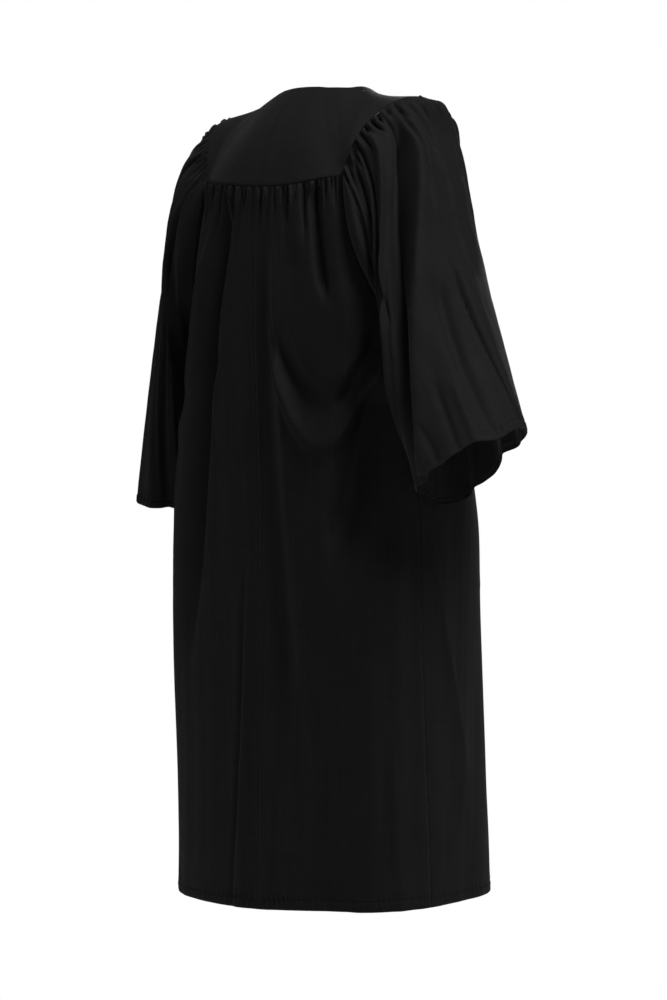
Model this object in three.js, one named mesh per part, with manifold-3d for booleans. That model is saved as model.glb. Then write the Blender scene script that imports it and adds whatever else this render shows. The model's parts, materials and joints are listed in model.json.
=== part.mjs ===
// A choir gown, hollow, as it hangs when it is worn: a smooth yoke over the shoulders, two back and two
// front panels gathered under it, two bell sleeves gathered into its sides, and a zip down the front.
// Millimetres. The wearer faces -Y, so +Y is the back, -X the wearer's right and +Z up. The origin lies
// on the neck axis, 5 mm above the points where the neck edge crosses the shoulders.
// Turns are in degrees round the neck axis from the centre back, above 0 on the wearer's right.
import * as THREE from "three";
import { mergeVertices } from "three/addons/utils/BufferGeometryUtils.js";
import Module from "manifold-3d";

const wasm = await Module();
wasm.setup();

// Sizes of the cloth and the body
const CLOTH = 1.5; // thickness of a cloth wall
const SEAM = 0.3; // gap between two pieces at a seam
const KINKED_SEAM = 0.5; // the gap where the pieces meet at an angle
const SLEEVE_SEAM = 0.65; // and where a sleeve leaves the curved side of the yoke
const UNDERARM = -390; // level of the foot of the armholes
const HEM = -1200;
const MIDDLE = 5; // how far the widest line of the body lies behind the neck axis
const SQUARENESS = 3; // of the body's level sections: 2 is an ellipse, more is squarer
const BACK_CORNER = { turn: 50.7, z: -147 }; // of the yoke
const FRONT_CORNER = { turn: 126, z: -140 };
const RIGHT = 1;
const LEFT = -1;
const RAD = Math.PI / 180;

// Sizes of the zip
const BAND = { width: 9, thickness: 2, foot: -1190 };
const SLIDER = { width: 7.4, length: 12, thickness: 1.8, down: 0.22 };
const BRIDGE = { width: 1.6, hole: 2, outside: 3 };
const PULL = { width: 5, length: 22, thickness: 1.2, window: { width: 2.8, length: 4.4 } };

// Level sections of the body: half its width, and its reach behind and before the neck axis.
const bodySections = [
  { z: -140, half: 172, back: 154, front: 118 },
  { z: -245, half: 196, back: 158, front: 124 },
  { z: -350, half: 208, back: 160, front: 124 },
  { z: -500, half: 230, back: 155, front: 122 },
  { z: -640, half: 248, back: 151, front: 128 },
  { z: -800, half: 251, back: 149, front: 129 },
  { z: -1000, half: 253, back: 150, front: 142 },
  { z: -1200, half: 256, back: 153, front: 163 },
];

// Turns of the seams that bound the panels, level by level.
const backArmhole = [
  { z: -147, turn: 50.7 },
  { z: -200, turn: 51.5 },
  { z: -245, turn: 54 },
  { z: -300, turn: 60 },
  { z: -350, turn: 68 },
  { z: -390, turn: 77 },
];
const frontArmhole = [
  { z: -140, turn: 126 },
  { z: -200, turn: 123 },
  { z: -250, turn: 117 },
  { z: -300, turn: 107 },
  { z: -350, turn: 93 },
  { z: -390, turn: 77 },
];
const sideSeam = [
  { z: -390, turn: 77 },
  { z: -600, turn: 76 },
  { z: -800, turn: 76.5 },
  { z: -1200, turn: 79.5 },
];

// Levels of the hem and of the yoke's lower edges by turn: the gown hangs a little unevenly.
const hem = [
  { turn: -180, z: -1200 },
  { turn: -120, z: -1216 },
  { turn: -75, z: -1230 },
  { turn: -35, z: -1230 },
  { turn: 0, z: -1226 },
  { turn: 25, z: -1219 },
  { turn: 45, z: -1212 },
  { turn: 79, z: -1204 },
  { turn: 180, z: -1200 },
];
const yokeHem = [
  { turn: -180, z: -150 },
  { turn: -126, z: -140 },
  { turn: -50.7, z: -141 },
  { turn: -25, z: -149 },
  { turn: 0, z: -155 },
  { turn: 25, z: -155 },
  { turn: 50.7, z: -145 },
  { turn: 126, z: -140 },
  { turn: 180, z: -150 },
];

// The yoke's side edge between its back corner, part 0, and its front corner, part 1.
const yokeSide = [
  { part: 0.18, out: 155, y: 106, z: -97 },
  { part: 0.34, out: 170, y: 84, z: -64 },
  { part: 0.46, out: 180, y: 54, z: -43 },
  { part: 0.57, out: 187, y: 17, z: -33 },
  { part: 0.68, out: 187, y: -20, z: -36 },
  { part: 0.79, out: 179, y: -55, z: -57 },
  { part: 0.9, out: 161, y: -82, z: -95 },
];
// The right shoulder is worn a little higher than the left.
const shoulderLift = new Map([[RIGHT, 4], [LEFT, -2]]);

// The neck edge and the yoke's crown beside it, by stretch: 0 is the centre back, 1 the back corner,
// 2 the front corner and 3 the centre front.
const neckEdge = [
  { at: 0, out: 0, y: 62, z: -4, crown: 18 },
  { at: 0.5, out: 30, y: 59, z: -5, crown: 16 },
  { at: 1, out: 55, y: 48, z: -7, crown: 9 },
  { at: 1.25, out: 70, y: 33, z: -7, crown: 4 },
  { at: 1.57, out: 80, y: 4, z: -5, crown: 3 },
  { at: 1.8, out: 72, y: -32, z: -18, crown: 4 },
  { at: 2, out: 54, y: -66, z: -46, crown: 9 },
  { at: 2.5, out: 28, y: -94, z: -74, crown: 6 },
  { at: 3, out: 5, y: -112, z: -97, crown: 1 },
];

// Sleeve sections from the armhole, 0, to the cuff, 1: outer, back, inner and front points of each.
const rightSleeve = [
  { at: 0.2, outer: [228, 18, -95], back: [203, 124, -185], inner: [228, 52, -418], front: [194, -80, -170] },
  { at: 0.45, outer: [280, 24, -235], back: [232, 133, -305], inner: [240, 54, -462], front: [228, -68, -300] },
  { at: 0.72, outer: [347, 42, -372], back: [280, 142, -440], inner: [250, 58, -530], front: [278, -46, -430] },
  { at: 1, outer: [421, 62, -508], back: [338, 138, -556], inner: [256, 62, -605], front: [336, -12, -556] },
];
const leftSleeve = [
  { at: 0.2, outer: [236, 14, -100], back: [211, 127, -190], inner: [228, 50, -418], front: [200, -90, -180] },
  { at: 0.45, outer: [285, 8, -250], back: [239, 123, -330], inner: [242, 42, -475], front: [238, -92, -310] },
  { at: 0.72, outer: [340, -6, -420], back: [287, 99, -480], inner: [256, 15, -560], front: [286, -98, -450] },
  { at: 1, outer: [402, -20, -622], back: [335, 70, -634], inner: [265, -15, -642], front: [333, -103, -630] },
];
const BACK_SHARE = 0.18; // share of the sleeve's round that is sewn to the back panel
const FRONT_SHARE = 0.16; // and to the front panel: the rest is gathered into the yoke

// Gathers: how many, how far the cloth swings out and in, and how far below the seam they die away.
const backGathers = { count: 9, depth: 4, length: 130 };
const frontGathers = { count: 8, depth: 4, length: 120 };
const sleeveGathers = { count: 22, depth: 4.5, length: 170 };
const GATHER_START = 14; // below the seam, where a gather reaches its full depth

// Folds of the body: ridges, or valleys where the rise is below 0, that run down the cloth. The turns
// are at head, middle and foot; the spread is in degrees; sharp narrows the flank nearer turn 0.
const bodyFolds = [
  { head: 15, middle: 23, foot: 47, top: -165, bottom: -1120, spread: 9, rise: 5.5, sharp: 0.6 },
  { head: 10, middle: 14, foot: 32, top: -200, bottom: -1120, spread: 6, rise: -4, sharp: 1 },
  { head: 37, middle: 41, foot: 46, top: -156, bottom: -400, spread: 4, rise: -8, sharp: 1 },
  { head: 45, middle: 48, foot: 54, top: -156, bottom: -420, spread: 4, rise: 4, sharp: 1 },
  { head: 57, middle: 59, foot: 61, top: -600, bottom: -1290, spread: 5, rise: 4, sharp: 1 },
  { head: 68, middle: 69, foot: 70, top: -610, bottom: -1290, spread: 4, rise: 4, sharp: 1 },
  { head: 76, middle: 90, foot: 101, top: -560, bottom: -1180, spread: 6, rise: 4, sharp: 0.7 },
  { head: 44, middle: 54, foot: 64, top: -840, bottom: -1340, spread: 5, rise: 4, sharp: 1 },
  { head: -26, middle: -60, foot: -66, top: -150, bottom: -1180, spread: 9, rise: 11, sharp: 0.8 },
  { head: -20, middle: -42, foot: -54, top: -156, bottom: -1050, spread: 6, rise: -6, sharp: 1 },
  { head: -12, middle: -14, foot: -20, top: -700, bottom: -1360, spread: 7, rise: 4, sharp: 1 },
  { head: 142, middle: 136, foot: 128, top: -180, bottom: -1340, spread: 8, rise: 6, sharp: 1 },
  { head: 160, middle: 158, foot: 152, top: -170, bottom: -1000, spread: 5, rise: -5, sharp: 1 },
  { head: 118, middle: 112, foot: 110, top: -560, bottom: -1340, spread: 6, rise: 5, sharp: 1 },
  { head: -146, middle: -140, foot: -131, top: -180, bottom: -1340, spread: 8, rise: 6, sharp: 1 },
  { head: -163, middle: -160, foot: -156, top: -170, bottom: -940, spread: 5, rise: -5, sharp: 1 },
  { head: -115, middle: -108, foot: -104, top: -600, bottom: -1340, spread: 7, rise: 5, sharp: 1 },
  { head: -88, middle: -86, foot: -84, top: -620, bottom: -1300, spread: 5, rise: 4, sharp: 1 },
];

// Swags that hang from the underarms, each round its lowest point: climb is in mm by degree squared.
const swags = [
  { turn: 40, low: -534, climb: 0.195, reach: 32, spread: 20, rise: 6 },
  { turn: 42, low: -480, climb: 0.15, reach: 30, spread: 22, rise: -7 },
  { turn: -50, low: -520, climb: 0.19, reach: 26, spread: 22, rise: 3 },
  { turn: -50, low: -470, climb: 0.15, reach: 26, spread: 22, rise: -3 },
  { turn: 118, low: -520, climb: 0.19, reach: 30, spread: 22, rise: 5 },
  { turn: 118, low: -470, climb: 0.15, reach: 30, spread: 22, rise: -5 },
  { turn: -120, low: -510, climb: 0.19, reach: 30, spread: 22, rise: 5 },
  { turn: -120, low: -460, climb: 0.15, reach: 30, spread: 22, rise: -5 },
];

// Folds of the sleeves by share of the round from the underarm over the back, and of the length.
const rightSleeveFolds = [
  { head: 0.2, foot: 0.1, top: 0.03, bottom: 0.34, spread: 0.02, rise: -4 },
  { head: 0.34, foot: 0.12, top: 0, bottom: 0.9, spread: 0.025, rise: 5 },
  { head: 0.34, foot: 0.11, top: 0.2, bottom: 1.15, spread: 0.024, rise: -7 },
  { head: 0.42, foot: 0.14, top: 0.15, bottom: 1.3, spread: 0.03, rise: 6 },
  { head: 0.57, foot: 0.49, top: 0.03, bottom: 0.7, spread: 0.02, rise: -4 },
  { head: 0.49, foot: 0.45, top: 0.03, bottom: 0.45, spread: 0.018, rise: -4 },
  { head: 0.45, foot: 0.6, top: 0.45, bottom: 1.2, spread: 0.02, rise: -3 },
  { head: 0.68, foot: 0.64, top: 0.1, bottom: 1.3, spread: 0.025, rise: -5 },
  { head: 0.77, foot: 0.74, top: 0.1, bottom: 1.3, spread: 0.03, rise: 5 },
];
const leftSleeveFolds = [
  { head: 0.27, foot: 0.22, top: 0.03, bottom: 1.3, spread: 0.022, rise: 4 },
  { head: 0.22, foot: 0.15, top: 0.03, bottom: 1.3, spread: 0.022, rise: -5 },
  { head: 0.37, foot: 0.31, top: 0.08, bottom: 1.3, spread: 0.026, rise: 4 },
  { head: 0.45, foot: 0.42, top: 0.05, bottom: 1.3, spread: 0.026, rise: -6 },
  { head: 0.55, foot: 0.54, top: 0.15, bottom: 1.3, spread: 0.03, rise: 5 },
  { head: 0.66, foot: 0.67, top: 0.1, bottom: 1.2, spread: 0.026, rise: -5 },
  { head: 0.76, foot: 0.77, top: 0.1, bottom: 1.3, spread: 0.03, rise: 5 },
];

const vec = (x, y, z) => new THREE.Vector3(x, y, z);
const mix = (a, b, t) => a + (b - a) * t;
const clamp = (t, low = 0, high = 1) => Math.min(high, Math.max(low, t));
const smooth = (t) => clamp(t) ** 2 * (3 - 2 * clamp(t));
const bell = (t) => Math.exp(-t * t);
const steps = (from, to, count) => Array.from({ length: count + 1 }, (_, i) => mix(from, to, i / count));

function hermite(a, b, slopeA, slopeB, t) {
  const t2 = t * t;
  const t3 = t2 * t;
  const ends = (2 * t3 - 3 * t2 + 1) * a + (3 * t2 - 2 * t3) * b;
  return ends + (t3 - 2 * t2 + t) * slopeA + (t3 - t2) * slopeB;
}

// Reads a column of a table at a value of its key, on a smooth curve through the rows.
function read(table, key, column, at) {
  const rows = table.at(-1)[key] > table[0][key] ? table : [...table].reverse();
  const value = clamp(at, rows[0][key], rows.at(-1)[key]);
  const i = Math.max(rows.findIndex((row) => row[key] >= value) - 1, 0);
  const slope = (j) => {
    const a = rows[Math.max(j - 1, 0)];
    const b = rows[Math.min(j + 1, rows.length - 1)];
    return (b[column] - a[column]) / (b[key] - a[key]);
  };
  const span = rows[i + 1][key] - rows[i][key];
  const t = (value - rows[i][key]) / span;
  return hermite(rows[i][column], rows[i + 1][column], slope(i) * span, slope(i + 1) * span, t);
}

// How far the folds lift the cloth of the body.
function bodyFoldRise(turn, z) {
  let rise = 0;
  for (const fold of bodyFolds) {
    const along = (fold.top - z) / (fold.top - fold.bottom);
    const start = fold.head * (1 - 2 * along) * (1 - along);
    const centre = start + fold.middle * 4 * along * (1 - along) + fold.foot * along * (2 * along - 1);
    const away = (turn - centre) / fold.spread;
    const inner = away * Math.sign(centre) < 0;
    const fade = smooth(along / 0.15) * smooth((1 - along) / 0.35);
    rise += fold.rise * fade * bell(inner ? away / fold.sharp : away);
  }
  for (const swag of swags) {
    const off = turn - swag.turn;
    const level = swag.low + swag.climb * off * off;
    const fade = smooth((swag.reach - Math.abs(off)) / 9);
    rise += swag.rise * fade * bell((z - level) / swag.spread);
  }
  return rise;
}

// A point of the body at a turn and a level, lifted by its folds and by a gather.
function bodyPoint(turn, z, lift = 0) {
  const s = Math.sin(turn * RAD);
  const c = Math.cos(turn * RAD);
  const half = read(bodySections, "z", "half", z);
  const backReach = read(bodySections, "z", "back", z) - MIDDLE;
  const frontReach = read(bodySections, "z", "front", z) + MIDDLE;
  const across = Math.abs(s / half) ** SQUARENESS;
  const along = Math.abs(c / (c > 0 ? backReach : frontReach)) ** SQUARENESS;
  const radius = (across + along) ** (-1 / SQUARENESS) + bodyFoldRise(turn, z) + lift;
  return vec(-radius * s, MIDDLE + radius * c, z);
}

// Turns at which the two back panels and the two front panels stop short of each other.
const CENTRE_BACK = Math.atan(KINKED_SEAM / 2 / 150) / RAD;

function centreFront(z) {
  const reach = read(bodySections, "z", "front", z) + MIDDLE;
  return 180 - Math.atan((BAND.width / 2 + KINKED_SEAM) / reach) / RAD;
}

// A point of the yoke's outer edge, by stretch as in the neck's table.
const cornerRow = (corner, part, side) => {
  const p = bodyPoint(side * corner.turn, read(yokeHem, "turn", "z", side * corner.turn));
  return { part, out: -side * p.x, y: p.y, z: p.z };
};
const sideRows = (side) => [
  cornerRow(BACK_CORNER, 0, side),
  ...yokeSide.map((row) => ({ ...row, z: row.z + shoulderLift.get(side) })),
  cornerRow(FRONT_CORNER, 1, side),
];
const yokeSides = new Map([[RIGHT, sideRows(RIGHT)], [LEFT, sideRows(LEFT)]]);

function yokeEdge(at, side) {
  if (at <= 1) {
    const turn = side * BACK_CORNER.turn * at;
    return bodyPoint(turn, read(yokeHem, "turn", "z", turn));
  }
  if (at >= 2) {
    const turn = side * mix(FRONT_CORNER.turn, centreFront(-150), at - 2);
    return bodyPoint(turn, read(yokeHem, "turn", "z", turn));
  }
  const [out, y, z] = ["out", "y", "z"].map((column) => read(yokeSides.get(side), "part", column, at - 1));
  return vec(-side * out, y, z);
}

// A point of the yoke, from the neck edge, 0, to its outer edge, 1.
function yokePoint(at, down, side) {
  const [out, y, z, crown] = ["out", "y", "z", "crown"].map((column) => read(neckEdge, "at", column, at));
  const neck = vec(-side * out, y, z);
  const edge = yokeEdge(at, side);
  const fall = edge.clone().sub(neck).normalize();
  const lift = vec(0, 0, 1).addScaledVector(fall, -fall.z).normalize();
  return neck.lerp(edge, down).addScaledVector(lift, crown * 4 * down * (1 - down));
}

// Joins rows of points, which may differ in count, into a sheet of triangles.
function joinRows(rows, closed) {
  const triangles = [];
  let start = 0;
  for (let r = 0; r + 1 < rows.length; r += 1) {
    const [a, b] = [rows[r].length, rows[r + 1].length];
    const [lastA, lastB] = closed ? [a, b] : [a - 1, b - 1];
    const upper = (i) => start + (i % a);
    const lower = (j) => start + a + (j % b);
    let i = 0;
    let j = 0;
    while (i < lastA || j < lastB) {
      if (j >= lastB || (i < lastA && (i + 1) / lastA <= (j + 1) / lastB)) {
        triangles.push([upper(i), lower(j), upper(i + 1)]);
        i += 1;
      } else {
        triangles.push([upper(i), lower(j), lower(j + 1)]);
        j += 1;
      }
    }
    start += a;
  }
  return triangles;
}

// Gives a sheet its thickness, half to each side, and closes its edges.
function wall(rows, { closed = false, thickness = CLOTH, side = RIGHT }) {
  const points = rows.flat();
  const faces = joinRows(rows, closed).map(([a, b, c]) => (side === RIGHT ? [a, b, c] : [a, c, b]));
  const normals = points.map(() => vec(0, 0, 0));
  for (const [a, b, c] of faces) {
    const normal = points[b].clone().sub(points[a]).cross(points[c].clone().sub(points[a]));
    for (const corner of [a, b, c]) normals[corner].add(normal);
  }
  const position = [];
  for (const half of [thickness / 2, -thickness / 2]) {
    points.forEach((p, i) => position.push(...p.clone().addScaledVector(normals[i].normalize(), half)));
  }
  const count = points.length;
  const index = [];
  const edges = new Set();
  for (const [a, b, c] of faces) {
    index.push(a, b, c, a + count, c + count, b + count);
    for (const [p, q] of [[a, b], [b, c], [c, a]]) edges.add(p * count + q);
  }
  for (const edge of edges) {
    const p = Math.floor(edge / count);
    const q = edge % count;
    if (!edges.has(q * count + p)) index.push(q, p, p + count, q, p + count, q + count);
  }
  const geometry = new THREE.BufferGeometry();
  geometry.setAttribute("position", new THREE.Float32BufferAttribute(position, 3));
  geometry.setIndex(index);
  return geometry;
}

// Gathers: the swing of the cloth, and where a share of the gathers lies across the seam, unevenly.
function gatherLift(gathers, share, below) {
  const uneven = 0.72 + 0.28 * Math.sin(17 * share + 2);
  const ends = smooth(share * gathers.count) * smooth((1 - share) * gathers.count);
  const fade = ends * smooth(below / GATHER_START) * (1 - smooth((below - 25) / (gathers.length * uneven)));
  return gathers.depth * uneven * fade * Math.sin(2 * Math.PI * gathers.count * share);
}

function spaced(share) {
  return share + 0.01 * Math.sin(6 * Math.PI * share) + 0.006 * Math.sin(14 * Math.PI * share);
}

// Four cuts to each gather, at the shoulders of its wave
const gatherShares = (count) => Array.from({ length: 4 * count }, (_, i) => (i + 0.5) / (4 * count));

// Rows of a panel from the yoke to the hem: close together and finely cut where it is gathered.
const gatheredRows = [0, 5, 14, 30, 52, 80];
const hangingRows = [120, 165, 210, 245, 300, 380, 480, 610, 760, 910, 1060];
const armholeRows = [245, 210, 165, 120, 80, 30, 5]; // those at which the sleeve meets the panels
const ARMHOLE_DEPTH = 245;
const PANEL_LENGTH = 1060;
const HANGING_COLUMNS = 18;

function panel(gathers, turnAt, side) {
  const pointAt = (share, below) => {
    const across = spaced(share);
    const top = read(yokeHem, "turn", "z", side * turnAt(across, BACK_CORNER.z)) - KINKED_SEAM;
    const foot = read(hem, "turn", "z", side * turnAt(across, HEM));
    const hanging = (below - ARMHOLE_DEPTH) / (PANEL_LENGTH - ARMHOLE_DEPTH);
    const z = hanging < 0 ? mix(top, UNDERARM, below / ARMHOLE_DEPTH) : mix(UNDERARM, foot, hanging);
    return bodyPoint(side * turnAt(across, z), z, side * gatherLift(gathers, share, below));
  };
  const fine = [0, ...gatherShares(gathers.count), 1];
  const rows = gatheredRows.map((below) => fine.map((share) => pointAt(share, below)));
  const coarse = steps(0, 1, HANGING_COLUMNS);
  return [...rows, ...hangingRows.map((below) => coarse.map((share) => pointAt(share, below)))];
}

const seamTurn = (armhole, z) => read(z > UNDERARM ? armhole : sideSeam, "z", "turn", z);
const SEAM_TURN = 0.075; // from the line of a side seam to the edge of a panel
const backTurn = (across, z) => mix(CENTRE_BACK, seamTurn(backArmhole, z) - SEAM_TURN, across);
const frontTurn = (across, z) => mix(seamTurn(frontArmhole, z) + SEAM_TURN, centreFront(z), across);

// The armhole: round from the underarm up the back panel, over the yoke and down the front panel.
const YOKE_SHARE = 1 - BACK_SHARE - FRONT_SHARE;
const stretchAt = (round) => 1 + (round - BACK_SHARE) / YOKE_SHARE;

// 0 beside the yoke, rising to 1 at the foot of the armhole
function underarm(round) {
  return Math.max((BACK_SHARE - round) / BACK_SHARE, (round - 1 + FRONT_SHARE) / FRONT_SHARE, 0);
}

// 0 beside the yoke and 1 beside a panel, with an even change about the yoke's corners
function besidePanel(round) {
  return smooth((Math.max(BACK_SHARE - round, round - 1 + FRONT_SHARE) + 0.05) / 0.07);
}

function armhole(round, side) {
  const low = underarm(round);
  if (low === 0) return yokeEdge(stretchAt(round), side);
  const [table, corner] = round < 0.5 ? [backArmhole, BACK_CORNER] : [frontArmhole, FRONT_CORNER];
  const z = mix(read(yokeHem, "turn", "z", side * corner.turn), UNDERARM, low);
  return bodyPoint(side * read(table, "z", "turn", z), z);
}

// The way in which the sleeve leaves the armhole: on from the yoke, or straight out of the body.
function leaving(round, side) {
  const stretch = clamp(stretchAt(round), 1.02, 1.98);
  const onward = yokePoint(stretch, 1, side).sub(yokePoint(stretch, 0.95, side)).normalize();
  const seam = armhole(round, side);
  const outward = vec(seam.x, (seam.y - MIDDLE) * 1.2, 0).normalize();
  return onward.lerp(outward, besidePanel(round)).normalize();
}

// A point of a sleeve's section: round from the inner point over the back, the outer and the front one.
function sectionPoint({ outer, back, inner, front }, round, side) {
  const t = Math.PI * (1 - 2 * round);
  const [x, y, z] = [0, 1, 2].map((k) => {
    const centre = (outer[k] + back[k] + inner[k] + front[k]) / 4;
    const skew = (outer[k] + inner[k] - back[k] - front[k]) / 4;
    const oval = ((outer[k] - inner[k]) / 2) * Math.cos(t) + ((back[k] - front[k]) / 2) * Math.sin(t);
    return centre + oval + skew * Math.cos(2 * t);
  });
  return vec(-side * x, y, z);
}

function sleeveForm(sections, round, along, side) {
  const start = armhole(round, side);
  const away = leaving(round, side);
  start.addScaledVector(away, SLEEVE_SEAM + (CLOTH / 2) * besidePanel(round));
  const knots = [0, ...sections.map((section) => section.at)];
  const points = [start, ...sections.map((section) => sectionPoint(section, round, side))];
  const i = clamp(knots.findIndex((knot) => knot >= along) - 1, 0, knots.length - 2);
  const slope = (j) => {
    if (j === 0) return away.clone().multiplyScalar((1.1 * points[1].distanceTo(points[0])) / knots[1]);
    const next = Math.min(j + 1, knots.length - 1);
    return points[next].clone().sub(points[j - 1]).divideScalar(knots[next] - knots[j - 1]);
  };
  const span = knots[i + 1] - knots[i];
  const [from, to] = [slope(i).multiplyScalar(span), slope(i + 1).multiplyScalar(span)];
  const t = (along - knots[i]) / span;
  const [x, y, z] = ["x", "y", "z"].map((k) => hermite(points[i][k], points[i + 1][k], from[k], to[k], t));
  return vec(x, y, z);
}

function sleeveFoldRise(folds, round, along) {
  let rise = 0;
  for (const fold of folds) {
    const part = (along - fold.top) / (fold.bottom - fold.top);
    const away = (round - mix(fold.head, fold.foot, part)) / fold.spread;
    rise += fold.rise * smooth(part / 0.2) * smooth((1 - part) / 0.3) * bell(away);
  }
  return rise;
}

// Rows of a sleeve by the distance from its armhole, in parts of its length.
const SLEEVE_LENGTH = 560;
const gatheredSleeveRows = [0, 5, 14, 30, 55, 90];
const hangingSleeveRows = [130, 180, 235, 295, 360, 430, 500, 560];
const HANGING_ROUND = 40;

function sleeve(sections, folds, side) {
  const pointAt = (round, below, share) => {
    const along = below / SLEEVE_LENGTH;
    const step = 0.002;
    const centre = sleeveForm(sections, round, along, side);
    const ahead = sleeveForm(sections, round + step, along, side);
    const onward = sleeveForm(sections, round, along + step, side);
    const normal = onward.sub(centre).cross(ahead.sub(centre)).normalize().multiplyScalar(side);
    const gather = share === undefined ? 0 : gatherLift(sleeveGathers, share, below);
    return centre.addScaledVector(normal, gather + sleeveFoldRise(folds, round, along));
  };
  const levels = armholeRows.map((below) => 1 - below / ARMHOLE_DEPTH);
  const rise = levels.map((low) => ({ round: BACK_SHARE * low }));
  const fall = levels.slice(1).map((low) => ({ round: 1 - FRONT_SHARE * low })).reverse();
  const gathered = gatherShares(sleeveGathers.count).map((share) => {
    return { round: BACK_SHARE + YOKE_SHARE * spaced(share), share };
  });
  const fine = [...rise, ...gathered, ...fall];
  const coarse = steps(0, 1, HANGING_ROUND).slice(0, -1);
  return [
    ...gatheredSleeveRows.map((below) => fine.map(({ round, share }) => pointAt(round, below, share))),
    ...hangingSleeveRows.map((below) => {
      return coarse.map((round) => {
        const share = (round - BACK_SHARE) / YOKE_SHARE;
        return pointAt(round, below, share > 0 && share < 1 ? share : undefined);
      });
    }),
  ];
}

function yoke() {
  const stretches = [...steps(0, 1, 8), ...steps(1, 2, 14).slice(1), ...steps(2, 3, 5).slice(1)];
  return steps(0, 1, 6).map((down) => {
    const right = stretches.map((at) => yokePoint(at, down, RIGHT));
    const left = stretches.slice(1).map((at) => yokePoint(at, down, LEFT));
    return [...left.reverse(), ...right];
  });
}

// The zip's band, in the gap between the two fronts, down from the neck edge.
function zipBand() {
  const middle = [
    ...steps(0, 1, 6).map((down) => yokePoint(3, down, RIGHT)),
    ...steps(-175, BAND.foot, 16).map((z) => bodyPoint(180, z)),
  ];
  return middle.map(({ y, z }) => [vec(BAND.width / 2, y, z), vec(-BAND.width / 2, y, z)]);
}

function roundedBar(width, length, radius) {
  const shape = new THREE.Shape();
  const [x, y] = [width / 2 - radius, length / 2 - radius];
  shape.absarc(x, y, radius, 0, Math.PI / 2);
  shape.absarc(-x, y, radius, Math.PI / 2, Math.PI);
  shape.absarc(-x, -y, radius, Math.PI, 1.5 * Math.PI);
  shape.absarc(x, -y, radius, 1.5 * Math.PI, 2 * Math.PI);
  shape.closePath();
  return shape;
}

function joined(...geometries) {
  const solids = geometries.map((geometry) => {
    const bare = geometry.clone();
    bare.deleteAttribute("normal");
    bare.deleteAttribute("uv");
    const merged = mergeVertices(bare, 1e-4);
    const mesh = { numProp: 3, vertProperties: merged.attributes.position.array };
    return new wasm.Manifold(new wasm.Mesh({ ...mesh, triVerts: new Uint32Array(merged.index.array) }));
  });
  const { vertProperties, triVerts } = wasm.Manifold.union(solids).getMesh();
  const geometry = new THREE.BufferGeometry();
  geometry.setAttribute("position", new THREE.BufferAttribute(vertProperties, 3));
  geometry.setIndex(new THREE.BufferAttribute(triVerts, 1));
  return geometry;
}

// The slider lies on the band; its bridge holds the bar of the pull. Local Y runs up the zip, Z out of it.
const SLIDER_FACE = BAND.thickness / 2 + SEAM + SLIDER.thickness;
const HINGE_HEIGHT = SLIDER_FACE + 0.95;

function slider() {
  const arcSteps = { curveSegments: 5, bevelEnabled: false };
  const plateShape = roundedBar(SLIDER.width, SLIDER.length, 2);
  const plate = new THREE.ExtrudeGeometry(plateShape, { ...arcSteps, depth: SLIDER.thickness });
  plate.translate(0, 0, BAND.thickness / 2 + SEAM);
  const arch = new THREE.Shape();
  arch.moveTo(BRIDGE.outside, -0.3);
  arch.absarc(0, 0, BRIDGE.outside, 0, Math.PI);
  arch.lineTo(-BRIDGE.outside, -0.3);
  arch.lineTo(-BRIDGE.hole, -0.3);
  arch.absarc(0, 0, BRIDGE.hole, Math.PI, 0, true);
  arch.lineTo(BRIDGE.hole, -0.3);
  arch.closePath();
  const bridge = new THREE.ExtrudeGeometry(arch, { ...arcSteps, curveSegments: 10, depth: BRIDGE.width });
  bridge.translate(0, 0, -BRIDGE.width / 2);
  bridge.rotateX(Math.PI / 2);
  bridge.rotateZ(Math.PI / 2);
  bridge.translate(0, 0, SLIDER_FACE);
  return joined(plate, bridge);
}

function pull() {
  const shape = roundedBar(PULL.width, PULL.length, 1.2);
  const { width, length } = PULL.window;
  const edge = PULL.length / 2 - PULL.thickness;
  const window = new THREE.Path();
  window.moveTo(-width / 2, edge);
  window.lineTo(width / 2, edge);
  window.lineTo(width / 2, edge - length);
  window.lineTo(-width / 2, edge - length);
  window.closePath();
  shape.holes.push(window);
  const options = { curveSegments: 4, bevelEnabled: false, depth: PULL.thickness };
  const tab = new THREE.ExtrudeGeometry(shape, options);
  tab.translate(0, (PULL.thickness - PULL.length) / 2, HINGE_HEIGHT - PULL.thickness / 2);
  return tab;
}

const gown = new THREE.Group();
const black = new THREE.MeshStandardMaterial({ color: 0x1b1b1d, roughness: 0.8, metalness: 0 });
const coil = new THREE.MeshStandardMaterial({ color: 0x141415, roughness: 0.5, metalness: 0 });
const metal = new THREE.MeshStandardMaterial({ color: 0x2b2b2d, roughness: 0.35, metalness: 0.9 });

function add(name, geometry, material = black) {
  const mesh = new THREE.Mesh(geometry, material);
  mesh.name = name;
  gown.add(mesh);
  return mesh;
}

add("yoke", wall(yoke(), {}));
add("back_right", wall(panel(backGathers, backTurn, RIGHT), { side: RIGHT }));
add("back_left", wall(panel(backGathers, backTurn, LEFT), { side: LEFT }));
add("front_right", wall(panel(frontGathers, frontTurn, RIGHT), { side: RIGHT }));
add("front_left", wall(panel(frontGathers, frontTurn, LEFT), { side: LEFT }));
add("sleeve_right", wall(sleeve(rightSleeve, rightSleeveFolds, RIGHT), { closed: true, side: RIGHT }));
add("sleeve_left", wall(sleeve(leftSleeve, leftSleeveFolds, LEFT), { closed: true, side: LEFT }));
add("zip_band", wall(zipBand(), { thickness: BAND.thickness, side: LEFT }), coil);

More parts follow.
